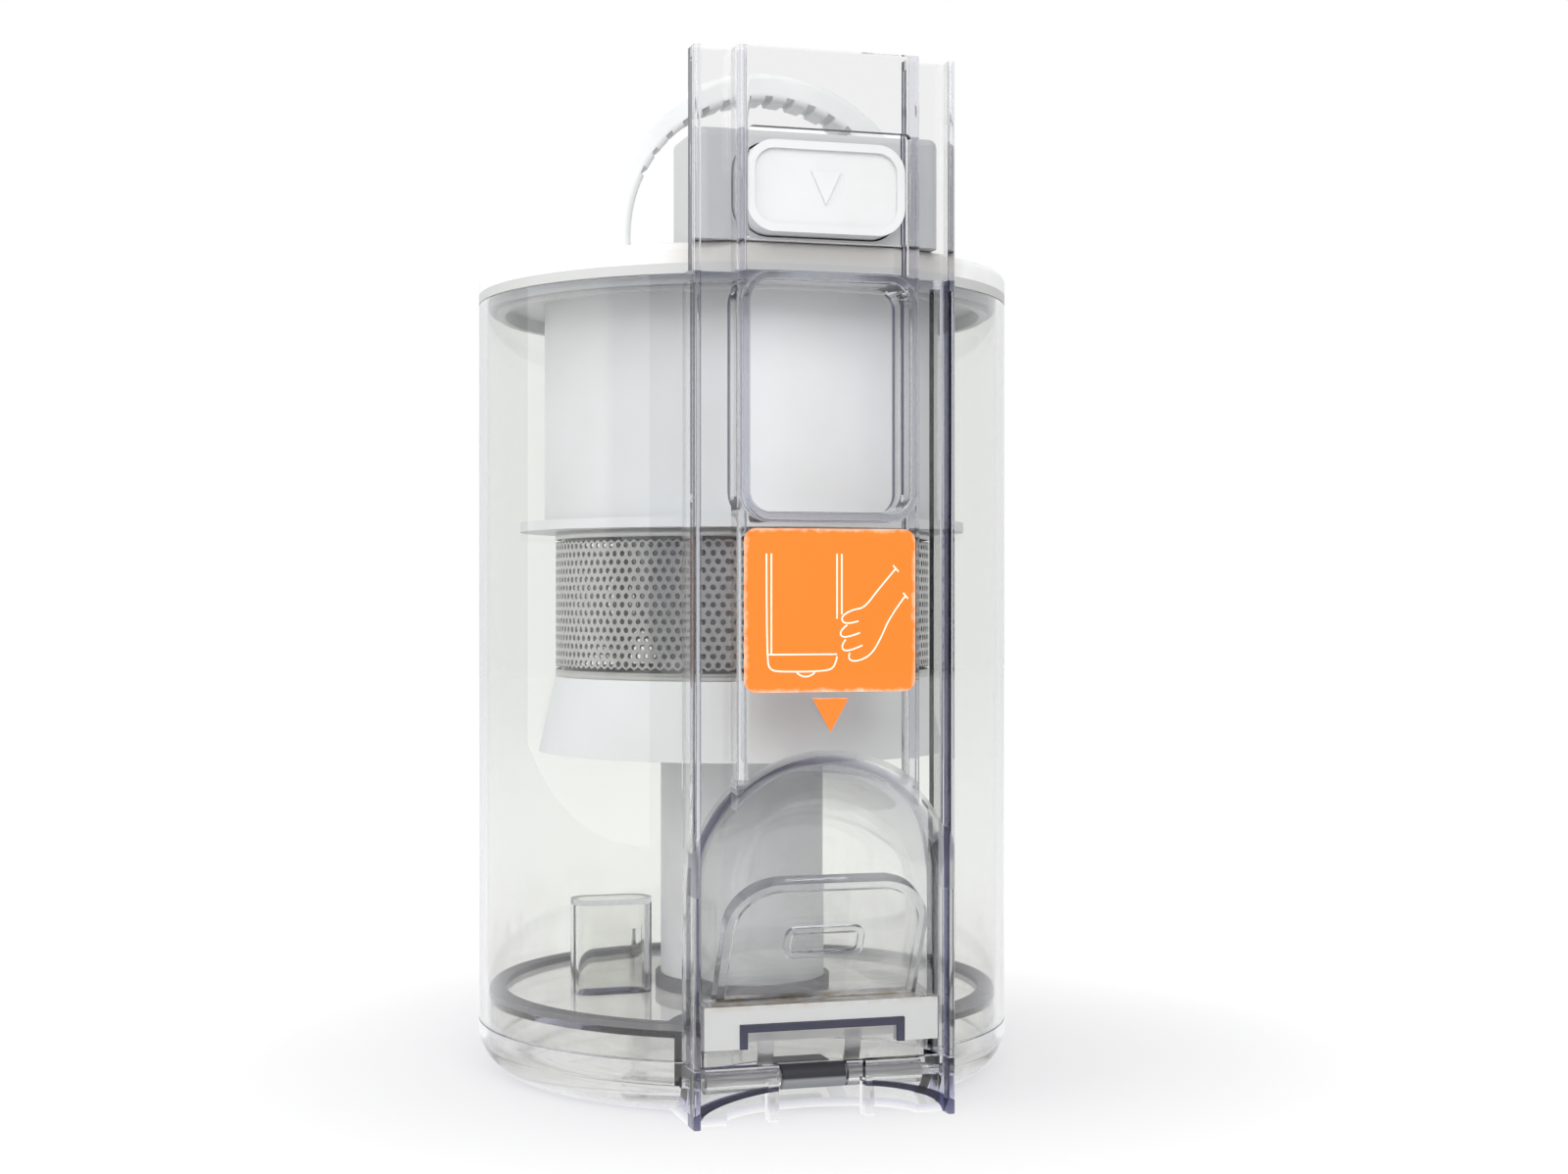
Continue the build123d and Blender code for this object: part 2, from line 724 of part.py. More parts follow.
# Button housing that stands on the lid behind the spine
with BuildPart() as catch_housing:
    with BuildSketch(Plane.XY.offset(lid_top)):
        with Locations((0, -(housing_front + housing_back) / 2)):
            RectangleRounded(2 * housing_half, housing_depth, housing_corner)
    extrude(amount=housing_h)
    fillet(catch_housing.edges().group_by(Axis.Z)[-1], housing_edge)
    with BuildSketch(Plane.XZ.offset(housing_front)):
        with Locations((0, button_z)):
            RectangleRounded(button_w + 2 * button_gap, button_h + 2 * button_gap, button_corner + button_gap)
    extrude(amount=-pocket_depth, mode=Mode.SUBTRACT)
    with BuildSketch(Plane.XY.offset(lid_top)):
        with Locations(*screw_places["housing"]):
            Circle(screw_r)
    extrude(amount=housing_screw_bite, mode=Mode.SUBTRACT)
catch_housing.part.label = "catch_housing"
export_step(catch_housing.part, "parts/catch_housing.step")


def lid_screws(places, bite):
    """Screws driven up through the lid, with their heads against its underside."""
    with BuildPart() as screws:
        with BuildSketch(Plane.XY.offset(lid_under)):
            with Locations(*places):
                Circle(screw_r)
        extrude(amount=lid_top - lid_under + bite)
        with BuildSketch(Plane.XY.offset(lid_under)):
            with Locations(*places):
                Circle(screw_head_r)
        extrude(amount=-screw_head_h)
    return screws.part


handle_screws = lid_screws(screw_places["handle"], handle_screw_bite)
handle_screws.label = "handle_screws"
export_step(handle_screws, "parts/handle_screws.step")
housing_screws = lid_screws(screw_places["housing"], housing_screw_bite)
housing_screws.label = "housing_screws"
export_step(housing_screws, "parts/housing_screws.step")

# Release button: cup with a raised rim and a triangle mark
button_face = button_front - button_recess
button_inner = button_face - button_wall
with BuildPart() as release_button:
    with BuildSketch(Plane.XZ.offset(button_front)):
        with Locations((0, button_z)):
            RectangleRounded(button_w, button_h, button_corner)
    extrude(amount=-button_recess - button_wall - button_skirt)
    with BuildSketch(Plane.XZ.offset(button_front)):
        with Locations((0, button_z)):
            RectangleRounded(button_w - 2 * button_rim, button_h - 2 * button_rim, button_corner - button_rim)
    extrude(amount=-button_recess, mode=Mode.SUBTRACT)
    with BuildSketch(Plane.XZ.offset(button_inner)):
        with Locations((0, button_z)):
            RectangleRounded(button_w - 2 * button_wall, button_h - 2 * button_wall, button_corner - button_wall)
    extrude(amount=-button_skirt, mode=Mode.SUBTRACT)
    with BuildSketch(Plane.XZ.offset(button_face)):
        with BuildLine():
            Polyline(
                (-mark_w / 2, button_z + mark_h / 2),
                (mark_w / 2, button_z + mark_h / 2),
                (0, button_z - mark_h / 2),
                close=True,
            )
        make_face()
    extrude(amount=mark_proud)
release_button.part.label = "release_button"
export_step(release_button.part, "parts/release_button.step")

# Bowed leaf spring behind the button
bow_rise = button_inner - pocket_back
bow_r = (bow_half**2 + bow_rise**2) / (2 * bow_rise)
with BuildPart() as button_spring:
    with BuildSketch(Plane.XY.offset(button_z)):
        with Locations((0, -button_inner + bow_r)):
            Circle(bow_r)
            Circle(bow_r - leaf_wall, mode=Mode.SUBTRACT)
        with Locations((0, -pocket_back)):
            Rectangle(2 * bow_r, bow_rise, align=(Align.CENTER, Align.MAX), mode=Mode.INTERSECT)
    extrude(amount=bow_w / 2, both=True)
button_spring.part.label = "button_spring"
export_step(button_spring.part, "parts/button_spring.step")

# Shroud of the cyclone with its thin ledge
ledge_in = mesh_r - mesh_wall - cage_post_d - seat_gap
with BuildPart() as shroud:
    with BuildSketch(Plane.XY.offset(shroud_low_z)):
        Circle(shroud_r + shroud_ledge_w)
        Circle(ledge_in, mode=Mode.SUBTRACT)
    extrude(amount=shroud_ledge)
    with BuildSketch(Plane.XY.offset(shroud_foot)):
        Circle(shroud_r)
        Circle(shroud_in, mode=Mode.SUBTRACT)
    extrude(amount=lid_under - shroud_foot)
shroud.part.label = "shroud"
export_step(shroud.part, "parts/shroud.step")

# Perforated steel band, with staggered rows of gaps
mesh_h = shroud_low_z - mesh_low_z
with BuildPart() as mesh_screen:
    with BuildSketch(Plane.XY.offset(mesh_low_z)):
        Circle(mesh_r)
        Circle(mesh_r - mesh_wall, mode=Mode.SUBTRACT)
    extrude(amount=mesh_h)
    for row in range(mesh_rows):
        with Locations(Plane.XY.offset(mesh_low_z + mesh_h * (row + 0.5) / mesh_rows)):
            with PolarLocations(mesh_r, mesh_columns, start_angle=180 / mesh_columns * (row % 2)):
                Box(4 * mesh_wall, mesh_gap, mesh_gap, rotation=(45, 0, 0), mode=Mode.SUBTRACT)
mesh_screen.part.label = "mesh_screen"
export_step(mesh_screen.part, "parts/mesh_screen.step")

# Flared skirt under the band, with the posts that hold it to the shroud
web_top = skirt_web_z + skirt_wall
post_r = mesh_r - mesh_wall - seat_gap - cage_post_d / 2
collar_in = post_r - cage_post_d
skirt_low_r = mesh_r + skirt_flare
with BuildPart() as shroud_skirt:
    with BuildSketch(Plane.XZ):
        with BuildLine():
            Polyline(
                (mesh_r, mesh_low_z),
                (skirt_low_r, skirt_low_z),
                (skirt_low_r - skirt_wall, skirt_low_z),
                (mesh_r - skirt_wall, skirt_web_z),
                (tube_r, skirt_web_z),
                (tube_r, web_top),
                (collar_in, web_top),
                (collar_in, mesh_low_z),
                close=True,
            )
        make_face()
    revolve(axis=Axis.Z)
    with Locations(Plane.XY.offset(mesh_low_z)):
        with PolarLocations(post_r, cage_posts):
            Box(cage_post_d, cage_post_w, mesh_h, align=(Align.CENTER, Align.CENTER, Align.MIN))
shroud_skirt.part.label = "shroud_skirt"
export_step(shroud_skirt.part, "parts/shroud_skirt.step")

# Inner cone, whose spigot sits in the fine dust tube
spigot_r = tube_r - tube_wall
with BuildPart() as cyclone_cone:
    with BuildSketch(Plane.XZ):
        with BuildLine():
            Polyline(
                (spigot_r, web_top - spigot),
                (spigot_r, web_top),
                (cone_top_r, cone_shoulder_z),
                (cone_top_r, lid_under),
                (cone_top_r - cone_wall, lid_under),
                (cone_top_r - cone_wall, cone_shoulder_z),
                (spigot_r - cone_wall, web_top),
                (spigot_r - cone_wall, web_top - spigot),
                close=True,
            )
        make_face()
    revolve(axis=Axis.Z)
cyclone_cone.part.label = "cyclone_cone"
export_step(cyclone_cone.part, "parts/cyclone_cone.step")

# Outlet tube inside the cone
with BuildPart() as vortex_tube:
    with BuildSketch(Plane.XY.offset(lid_under)):
        Circle(vortex_r + vortex_flange_w)
    extrude(amount=-cone_wall)
    with BuildSketch(Plane.XY.offset(lid_under)):
        Circle(vortex_r)
    extrude(amount=vortex_low_z - lid_under)
    with BuildSketch(Plane.XY.offset(lid_under)):
        Circle(vortex_r - cone_wall)
    extrude(amount=vortex_low_z - lid_under, mode=Mode.SUBTRACT)
vortex_tube.part.label = "vortex_tube"
export_step(vortex_tube.part, "parts/vortex_tube.step")

# Fine dust tube and the rubber ring at its foot
with BuildPart() as dust_tube:
    with BuildSketch(Plane.XY.offset(tube_low_z)):
        Circle(tube_r)
        Circle(tube_r - tube_wall, mode=Mode.SUBTRACT)
    extrude(amount=web_top - tube_low_z)
dust_tube.part.label = "dust_tube"
export_step(dust_tube.part, "parts/dust_tube.step")

with BuildPart() as tube_seal:
    with BuildSketch(Plane.XY.offset(floor_z + seam_gap)):
        Circle(tube_r + tube_seal_w)
        Circle(tube_r - tube_wall - tube_seal_w, mode=Mode.SUBTRACT)
    extrude(amount=tube_low_z - floor_z - seam_gap)
tube_seal.part.label = "tube_seal"
export_step(tube_seal.part, "parts/tube_seal.step")
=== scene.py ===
"""Dust bin of a bagless vacuum cleaner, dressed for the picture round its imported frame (metres, +Z up)."""
import math

import bpy
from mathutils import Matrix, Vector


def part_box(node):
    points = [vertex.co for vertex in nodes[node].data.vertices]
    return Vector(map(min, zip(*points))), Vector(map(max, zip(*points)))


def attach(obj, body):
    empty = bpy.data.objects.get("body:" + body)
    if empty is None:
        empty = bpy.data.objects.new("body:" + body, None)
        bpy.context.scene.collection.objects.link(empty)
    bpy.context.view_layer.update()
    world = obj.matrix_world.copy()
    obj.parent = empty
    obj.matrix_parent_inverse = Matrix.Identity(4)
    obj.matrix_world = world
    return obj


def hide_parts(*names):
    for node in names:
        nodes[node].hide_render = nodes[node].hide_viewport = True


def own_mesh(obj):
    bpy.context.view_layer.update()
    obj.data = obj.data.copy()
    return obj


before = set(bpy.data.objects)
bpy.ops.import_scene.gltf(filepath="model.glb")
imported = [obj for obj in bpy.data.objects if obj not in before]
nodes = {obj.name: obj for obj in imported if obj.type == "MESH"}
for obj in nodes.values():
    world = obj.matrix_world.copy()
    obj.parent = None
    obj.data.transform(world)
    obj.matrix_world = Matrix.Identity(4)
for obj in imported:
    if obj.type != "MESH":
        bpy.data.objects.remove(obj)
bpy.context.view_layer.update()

# Bin shell
# One clear injection moulding: a thin drum with a flat stepped spine, inlet frame and finger scoop.
# The plastic is slightly smoky, so its walls look pale and its long cut edges a dark blue violet; on the lips
# that edge colour is also painted shade.
clear_tint = (0.985, 0.990, 0.960, 1.0)
drum_film = (0.950, 0.954, 0.940, 1.0)
clear_dusty = (0.74, 0.71, 0.66, 1.0)
clear_shadow = (0.985, 0.985, 0.985, 1.0)
clear_edge = (0.36, 0.36, 0.55, 1.0)
clear_edge_density = 46.0
clear_ior = 1.47
drum_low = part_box("bin_shell")[0]
scoop_spring_z = 0.055
scoop_axis_y = -0.071
scoop_reach = 0.0337
scoop_cover = 0.35
scoop_depth_y = (-0.0670, -0.0420)
scoop_edge_r = 0.0324
scoop_edge_half = 0.0022
scoop_edge_y = -0.0688
lip_inner_x = 0.0312
lip_face_half = 0.0003
lip_front_y = -0.0713
drum_film_z = 0.2035
satin_rough = 0.50
drum_dust = (drum_low.z, 0.07, 0.45)
# Painted shade: navy mixed into edges of the clear plastic that look dark edge-on.
navy_edge_shade = (0.03, 0.03, 0.08, 1.0)
paper_white = (1.0, 1.0, 1.0, 1.0)
zone_outputs = {"Satin": "NodeSocketFloat", "Tint": "NodeSocketColor", "Cover": "NodeSocketFloat"}


def put(tree, kind, sockets=(), **settings):
    """Add a node with its settings and the values of its sockets."""
    made = tree.nodes.new(kind)
    for name, value in settings.items():
        setattr(made, name, value)
    for name, value in dict(sockets).items():
        made.inputs[name].default_value = value
    return made


def new_material(name):
    """Material with an empty tree."""
    material = bpy.data.materials.new(name)
    material.use_nodes = True
    material.node_tree.nodes.clear()
    return material


def new_group(name, inputs, outputs):
    """Shader group with named number inputs and named outputs of the given kinds."""
    group = bpy.data.node_groups.new(name, "ShaderNodeTree")
    for socket, value in inputs.items():
        made = group.interface.new_socket(socket, in_out="INPUT", socket_type="NodeSocketFloat")
        made.default_value = value
    for socket, kind in outputs.items():
        group.interface.new_socket(socket, in_out="OUTPUT", socket_type=kind)
    return group, put(group, "NodeGroupInput"), put(group, "NodeGroupOutput")


def fill(tree, socket, value):
    """Link a socket to another one, or set it to a value."""
    if isinstance(value, bpy.types.NodeSocket):
        tree.links.new(value, socket)
    else:
        socket.default_value = value


def feed(tree, made, values):
    """Fill the first sockets of a node."""
    for socket, value in zip(made.inputs, values):
        fill(tree, socket, value)


def maths(tree, operation, *values):
    """Number worked out from sockets or numbers."""
    made = put(tree, "ShaderNodeMath", operation=operation)
    feed(tree, made, values)
    return made.outputs["Value"]


def vector(tree, *parts):
    """Vector that has these three parts."""
    joined = put(tree, "ShaderNodeCombineXYZ")
    feed(tree, joined, parts)
    return joined.outputs["Vector"]


def reach(tree, *parts):
    """Length of the vector that has these three parts."""
    length = put(tree, "ShaderNodeVectorMath", operation="LENGTH")
    fill(tree, length.inputs[0], vector(tree, *parts))
    return length.outputs["Value"]


def object_place(tree):
    """Sockets of the three coordinates of a point of the object."""
    place = put(tree, "ShaderNodeTexCoord")
    split = put(tree, "ShaderNodeSeparateXYZ")
    tree.links.new(place.outputs["Object"], split.inputs["Vector"])
    return split.outputs


def mixed(tree, share, first, second, blend="MIX"):
    """Colour mixed from two colours."""
    made = put(tree, "ShaderNodeMix", data_type="RGBA", blend_type=blend)
    for number, value in ((0, share), (6, first), (7, second)):
        fill(tree, made.inputs[number], value)
    return made.outputs[2]


def ranged(tree, value, start, end, first=0.0, last=1.0, kind="LINEAR"):
    """Number that goes from first to last while a value goes from start to end."""
    made = put(tree, "ShaderNodeMapRange", interpolation_type=kind)
    feed(tree, made, (value, start, end, first, last))
    return made.outputs["Result"]


def noise(tree, scale, detail, rough=0.5, stretch=(1.0, 1.0, 1.0)):
    """Noise in the object's own space, drawn out along an axis whose stretch is under 1."""
    place = put(tree, "ShaderNodeTexCoord")
    drawn = put(tree, "ShaderNodeMapping", {"Scale": stretch})
    made = put(tree, "ShaderNodeTexNoise", {"Detail": detail, "Roughness": rough})
    fill(tree, made.inputs["Scale"], scale)
    fill(tree, drawn.inputs["Vector"], place.outputs["Object"])
    fill(tree, made.inputs["Vector"], drawn.outputs["Vector"])
    return made.outputs["Fac"]


def bumped(tree, height, strength, depth):
    """Normal of a surface with a fine relief."""
    made = put(tree, "ShaderNodeBump", {"Strength": strength})
    fill(tree, made.inputs["Distance"], depth)
    fill(tree, made.inputs["Height"], height)
    return made.outputs["Normal"]


def use_group(tree, group, **values):
    """Node of a group, with the group's own values for those that aren't given."""
    made = put(tree, "ShaderNodeGroup", node_tree=group)
    for item in group.interface.items_tree:
        if item.in_out == "INPUT":
            made.inputs[item.name].default_value = values.get(item.name, item.default_value)
    return made.outputs


def principled(tree, sockets):
    """Main shader with these sockets filled."""
    made = put(tree, "ShaderNodeBsdfPrincipled")
    for name, value in sockets.items():
        fill(tree, made.inputs[name], value)
    return made.outputs["BSDF"]


def surface(tree, shader):
    """Put a shader out as the surface of the material."""
    output = put(tree, "ShaderNodeOutputMaterial")
    fill(tree, output.inputs["Surface"], shader)
    return output


def dress(names, material):
    """Give CAD nodes one material."""
    for name in names:
        nodes[name].data.materials.clear()
        nodes[name].data.materials.append(material)


def settled_dust_group():
    """Mask of dust that settles towards the bottom of a band of heights, in soft patches."""
    group, given, result = new_group(
        "settled dust",
        {"Low": 0.0, "High": 0.1, "Amount": 0.5, "Scale": 60.0},
        {"Mask": "NodeSocketFloat"},
    )
    up = object_place(group)["Z"]
    height = ranged(group, up, given.outputs["Low"], given.outputs["High"], 1.0, 0.0, "SMOOTHSTEP")
    patch = ranged(group, noise(group, given.outputs["Scale"], 6.0, 0.65), 0.35, 0.72)
    both = maths(group, "MULTIPLY", height, patch)
    feed(group, result, [maths(group, "MULTIPLY", both, given.outputs["Amount"])])
    return group


def handling_group():
    """Mask of wiping smears and hairline scratches that run up and down the walls."""
    group, given, result = new_group(
        "handling marks",
        {"Scale": 90.0, "Amount": 1.0},
        {"Mask": "NodeSocketFloat"},
    )
    hair = noise(group, given.outputs["Scale"], 8.0, 0.75, (1.0, 1.0, 0.08))
    thin = ranged(group, hair, 0.56, 0.80)
    feed(group, result, [maths(group, "MULTIPLY", thin, given.outputs["Amount"])])
    return group


def lip_shade_mask(tree, x, y):
    """Inner faces of the two lips that edge the spine, where painted navy shade makes the plastic look
    darkest.
    """
    face = maths(tree, "COMPARE", maths(tree, "ABSOLUTE", x), lip_inner_x, lip_face_half)
    return maths(tree, "MULTIPLY", face, maths(tree, "LESS_THAN", y, lip_front_y))


def shell_group():
    """Satin arch and thin walls of the finger scoop, lips in painted navy shade, and a film of dust below the
    drum's rim.
    """
    group, given, result = new_group(
        "shell zones",
        {"Spring": scoop_spring_z, "Radius": scoop_edge_r, "Behind": scoop_edge_y, "Rim": drum_film_z},
        zone_outputs,
    )
    x, y, z = object_place(group)
    up = maths(group, "SUBTRACT", z, given.outputs["Spring"])
    ring = maths(group, "COMPARE", reach(group, x, up, 0.0), given.outputs["Radius"], scoop_edge_half)
    arch = maths(group, "MULTIPLY", ring, maths(group, "GREATER_THAN", up, 0.0))
    edge = maths(group, "MULTIPLY", arch, maths(group, "LESS_THAN", y, given.outputs["Behind"]))
    back = maths(group, "SUBTRACT", y, scoop_axis_y)
    pocket = maths(group, "LESS_THAN", reach(group, x, back, maths(group, "MAXIMUM", up, 0.0)), scoop_reach)
    side = maths(group, "GREATER_THAN", maths(group, "ABSOLUTE", x), lip_inner_x - lip_face_half)
    lips = maths(group, "MULTIPLY", side, maths(group, "LESS_THAN", y, lip_front_y))
    deep = ranged(group, y, scoop_depth_y[0], scoop_depth_y[1], 1.0 - scoop_cover, 0.0)
    thin = maths(group, "MULTIPLY", pocket, maths(group, "SUBTRACT", 1.0, lips))
    cover = maths(group, "SUBTRACT", 1.0, maths(group, "MULTIPLY", thin, deep))
    below = maths(group, "LESS_THAN", z, given.outputs["Rim"])
    # Painted shade: the lips' inner faces below the rim turn navy.
    painted_edge_shade = maths(group, "MULTIPLY", lip_shade_mask(group, x, y), below)
    tint = mixed(group, painted_edge_shade, mixed(group, below, paper_white, drum_film), navy_edge_shade)
    feed(group, result, (edge, tint, cover))
    return group


settled_dust = settled_dust_group()
handling = handling_group()
shell_zones = shell_group()


def clear_plastic(name, dust, zone=None):
    """Clear plastic that absorbs light along its edges, with scratches, dust at some heights and zones."""
    material = new_material(name)
    tree = material.node_tree
    low, high, amount = dust
    film = use_group(tree, settled_dust, Low=low, High=high, Amount=amount)["Mask"]
    marks = use_group(tree, handling)["Mask"]
    colour = mixed(tree, film, clear_tint, clear_dusty)
    rough = ranged(tree, maths(tree, "MAXIMUM", film, marks), 0.0, 1.0, 0.015, 0.16)
    cover = 1.0
    if zone:
        part = use_group(tree, zone)
        colour = mixed(tree, 1.0, colour, part["Tint"], "MULTIPLY")
        rough = ranged(tree, part["Satin"], 0.0, 1.0, rough, satin_rough)
        cover = part["Cover"]
    sockets = {"Base Color": colour, "Roughness": rough, "Alpha": cover}
    plastic = principled(tree, {"IOR": clear_ior, "Transmission Weight": 1.0, **sockets})
    through = put(tree, "ShaderNodeBsdfTransparent", {"Color": clear_shadow})
    path = put(tree, "ShaderNodeLightPath").outputs
    soft_light = maths(tree, "MAXIMUM", path["Is Shadow Ray"], path["Is Diffuse Ray"])
    both = put(tree, "ShaderNodeMixShader")
    feed(tree, both, (soft_light, plastic, through.outputs["BSDF"]))
    depth = put(tree, "ShaderNodeVolumeAbsorption", {"Color": clear_edge, "Density": clear_edge_density})
    output = surface(tree, both.outputs["Shader"])
    fill(tree, output.inputs["Volume"], depth.outputs["Volume"])
    return material


dress(["bin_shell"], clear_plastic("clear drum plastic", drum_dust, shell_zones))

# Stickers on the spine
# An orange vinyl sticker shows how to open the floor, and a small triangle under it points at the tab.
# The vinyl is paler and chipped along its cut edges, and the drawing is printed in a thin pale line.
vinyl = (1.0, 0.20, 0.006, 1.0)
vinyl_worn = (1.0, 0.62, 0.42, 1.0)
ink = (1.0, 0.93, 0.78, 1.0)
ink_thin = (1.0, 0.80, 0.55, 1.0)
ink_width = 0.00042
ink_proud = 0.00006
label_low, label_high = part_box("emptying_label")
label_mid_z = (label_low.z + label_high.z) / 2


def sticker_vinyl(name, node):
    """Orange vinyl that fades and chips towards the border of its node."""
    low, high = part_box(node)
    middle = (low + high) / 2
    half = (high - low) / 2
    material = new_material(name)
    tree = material.node_tree
    x, y, z = object_place(tree)
    side = maths(tree, "ABSOLUTE", maths(tree, "DIVIDE", x, half.x))
    end = maths(tree, "ABSOLUTE", maths(tree, "DIVIDE", maths(tree, "SUBTRACT", z, middle.z), half.z))
    chips = noise(tree, 420.0, 5.0, 0.7)
    ragged = maths(tree, "MULTIPLY_ADD", chips, 0.16, -0.08)
    edge = maths(tree, "ADD", maths(tree, "MAXIMUM", side, end), ragged)
    colour = mixed(tree, ranged(tree, edge, 0.955, 1.03), vinyl, vinyl_worn)
    rough = ranged(tree, chips, 0.0, 1.0, 0.32, 0.6)
    ripple = bumped(tree, chips, 0.12, 0.0003)
    sockets = {"Base Color": colour, "Roughness": rough, "Normal": ripple, "Coat Weight": 0.15}
    surface(tree, principled(tree, sockets))
    return material


def printed_ink():
    """Pale screen ink with a slightly uneven cover."""
    material = new_material("pale ink")
    tree = material.node_tree
    fade = ranged(tree, noise(tree, 900.0, 3.0), 0.5, 0.9)
    surface(tree, principled(tree, {"Base Color": mixed(tree, fade, ink, ink_thin), "Roughness": 0.5}))
    return material


def plain_mesh(maker, name, material):
    """Turn an evaluated object into a plain mesh object, and remove the object that made it."""
    bpy.context.view_layer.update()
    graph = bpy.context.evaluated_depsgraph_get()
    mesh = bpy.data.meshes.new_from_object(maker.evaluated_get(graph))
    bpy.data.objects.remove(maker)
    piece = bpy.data.objects.new(name, mesh)
    bpy.context.scene.collection.objects.link(piece)
    mesh.materials.clear()
    mesh.materials.append(material)
    return piece


def drawn_lines(strokes):
    """Thin printed lines on the sticker, from strokes of millimetre points about its middle."""
    curve = bpy.data.curves.new("sticker drawing", "CURVE")
    curve.dimensions = "3D"
    curve.bevel_depth = ink_width / 2
    curve.bevel_resolution = 1
    curve.resolution_u = 4
    for points, rounded in strokes:
        line = curve.splines.new("NURBS" if rounded else "POLY")
        line.points.add(len(points) - 1)
        for knot, (x, z) in zip(line.points, points):
            knot.co = (x / 1000, z / 1000, 0.0, 1.0)
        if rounded:
            line.use_endpoint_u = True
            line.order_u = 3
    maker = bpy.data.objects.new("sticker drawing maker", curve)
    bpy.context.scene.collection.objects.link(maker)
    drawing = plain_mesh(maker, "sticker_drawing", printed_ink())
    for corner in drawing.data.vertices:
        x, z, lift = corner.co
        corner.co = (x, label_low.y - lift * ink_proud / ink_width, label_mid_z + z)
    drawing.data.flip_normals()
    return drawing


bin_lines = [
    (
        [
            (-16.0, 13.5),
            (-16.0, -12.0),
            (-15.0, -14.2),
            (-12.5, -14.6),
            (-1.5, -14.6),
            (1.2, -13.6),
            (1.6, -11.0),
        ],
        True,
    ),
    ([(-14.8, 13.5), (-14.8, -10.5)], False),
    ([(-16.0, -10.5), (1.6, -10.5)], False),
    ([(1.6, 13.5), (1.6, -2.0)], False),
    ([(2.8, 13.5), (2.8, -1.0)], False),
    ([(-8.5, -14.8), (-7.5, -15.8), (-5.0, -15.8), (-4.0, -14.8)], True),
]
hand_lines = [
    ([(16.5, 10.0), (12.0, 5.0), (8.5, 0.5), (5.5, 0.2), (2.4, -1.6), (3.6, -3.6), (7.0, -2.6)], True),
    ([(4.2, -3.5), (2.0, -5.0), (3.2, -7.0), (7.4, -5.4)], True),
    ([(3.8, -7.0), (2.4, -8.6), (4.0, -10.2), (8.0, -8.4)], True),
    (
        [(4.8, -10.2), (4.2, -11.6), (6.2, -12.4), (10.0, -11.0), (12.6, -7.0), (15.0, -1.5), (19.0, 3.5)],
        True,
    ),
    ([(15.8, 10.8), (17.2, 9.3)], False),
    ([(18.4, 4.2), (19.6, 2.8)], False),
]
dress(["emptying_label"], sticker_vinyl("orange sticker vinyl", "emptying_label"))
dress(["arrow_label"], sticker_vinyl("orange arrow vinyl", "arrow_label"))
sticker_drawing = drawn_lines(bin_lines + hand_lines)
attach(sticker_drawing, "bin")

# Floor door
# Two clear mouldings: the outer dish that the bin stands on, and the inner floor with its hollow fin.
# Both are the drum's plastic, and dust lies on them where the emptied dirt slides past.
apron_arch = (0.0312, 0.0080)
apron_shade_edge = 1.06
apron_shade_half = 0.07
apron_back_y = -0.0685
dish_dust = (0.0, 0.020, 0.40)
floor_dust = (0.015, 0.034, 0.40)


def apron_group():
    """Painted navy shade on the lips and the arched lower edge of the apron in front of the lever."""
    group, given, result = new_group("apron zones", {"Edge": apron_shade_edge}, zone_outputs)
    x, y, z = object_place(group)
    across = maths(group, "DIVIDE", x, apron_arch[0])
    around = reach(group, across, maths(group, "DIVIDE", z, apron_arch[1]), 0.0)
    strip = maths(group, "COMPARE", around, given.outputs["Edge"], apron_shade_half)
    arch = maths(group, "MULTIPLY", strip, maths(group, "LESS_THAN", y, apron_back_y))
    # Painted shade: the arched lower edge and the lips turn navy.
    painted_edge_shade = maths(group, "MAXIMUM", arch, lip_shade_mask(group, x, y))
    feed(group, result, (0.0, mixed(group, painted_edge_shade, paper_white, navy_edge_shade), 1.0))
    return group


dress(["door_dish"], clear_plastic("clear dish plastic", dish_dust, apron_group()))
dress(["door_plate"], clear_plastic("clear floor plastic", floor_dust))

# Rubber seals
# Soft moulded rings: grey ones on the floor and on the dust tube, and a pale one round the lid's plug.
# Rubber is matt, and fine dust clings to it.
rubber = (0.15, 0.15, 0.16, 1.0)
pale_rubber = (0.42, 0.43, 0.44, 1.0)
rubber_dust = (0.33, 0.31, 0.28, 1.0)


def seal_rubber(name, colour_value):
    """Matt rubber with clinging dust and a fine skin."""
    material = new_material(name)
    tree = material.node_tree
    cling = ranged(tree, noise(tree, 160.0, 7.0, 0.7), 0.5, 0.75, 0.0, 0.55)
    colour = mixed(tree, cling, colour_value, rubber_dust)
    skin = bumped(tree, noise(tree, 2600.0, 2.0), 0.3, 0.0001)
    surface(tree, principled(tree, {"Base Color": colour, "Roughness": 0.72, "Normal": skin}))
    return material


dress(["door_seal", "tube_seal"], seal_rubber("grey seal rubber", rubber))
dress(["lid_seal"], seal_rubber("pale seal rubber", pale_rubber))

# Pins, springs and screws
# Drawn steel pins for the hinge and the lever, bent leaf springs, and pan head screws up into the lid.
# The steel is bright with fine drawing lines along its length.
steel_bright = (0.62, 0.62, 0.63, 1.0)
steel_dull = (0.42, 0.42, 0.43, 1.0)


def drawn_steel(name):
    """Bright steel with drawing lines along X and a little uneven dulling."""
    material = new_material(name)
    tree = material.node_tree
    lines = noise(tree, 3000.0, 4.0, stretch=(0.05, 1.0, 1.0))
    colour = mixed(tree, lines, steel_bright, steel_dull)
    rough = ranged(tree, lines, 0.0, 1.0, 0.2, 0.45)
    surface(tree, principled(tree, {"Base Color": colour, "Roughness": rough, "Metallic": 1.0}))
    return material


dress(
    ["hinge_pin", "lever_pin", "lever_springs", "button_spring", "handle_screws", "housing_screws"],
    drawn_steel("drawn steel"),
)
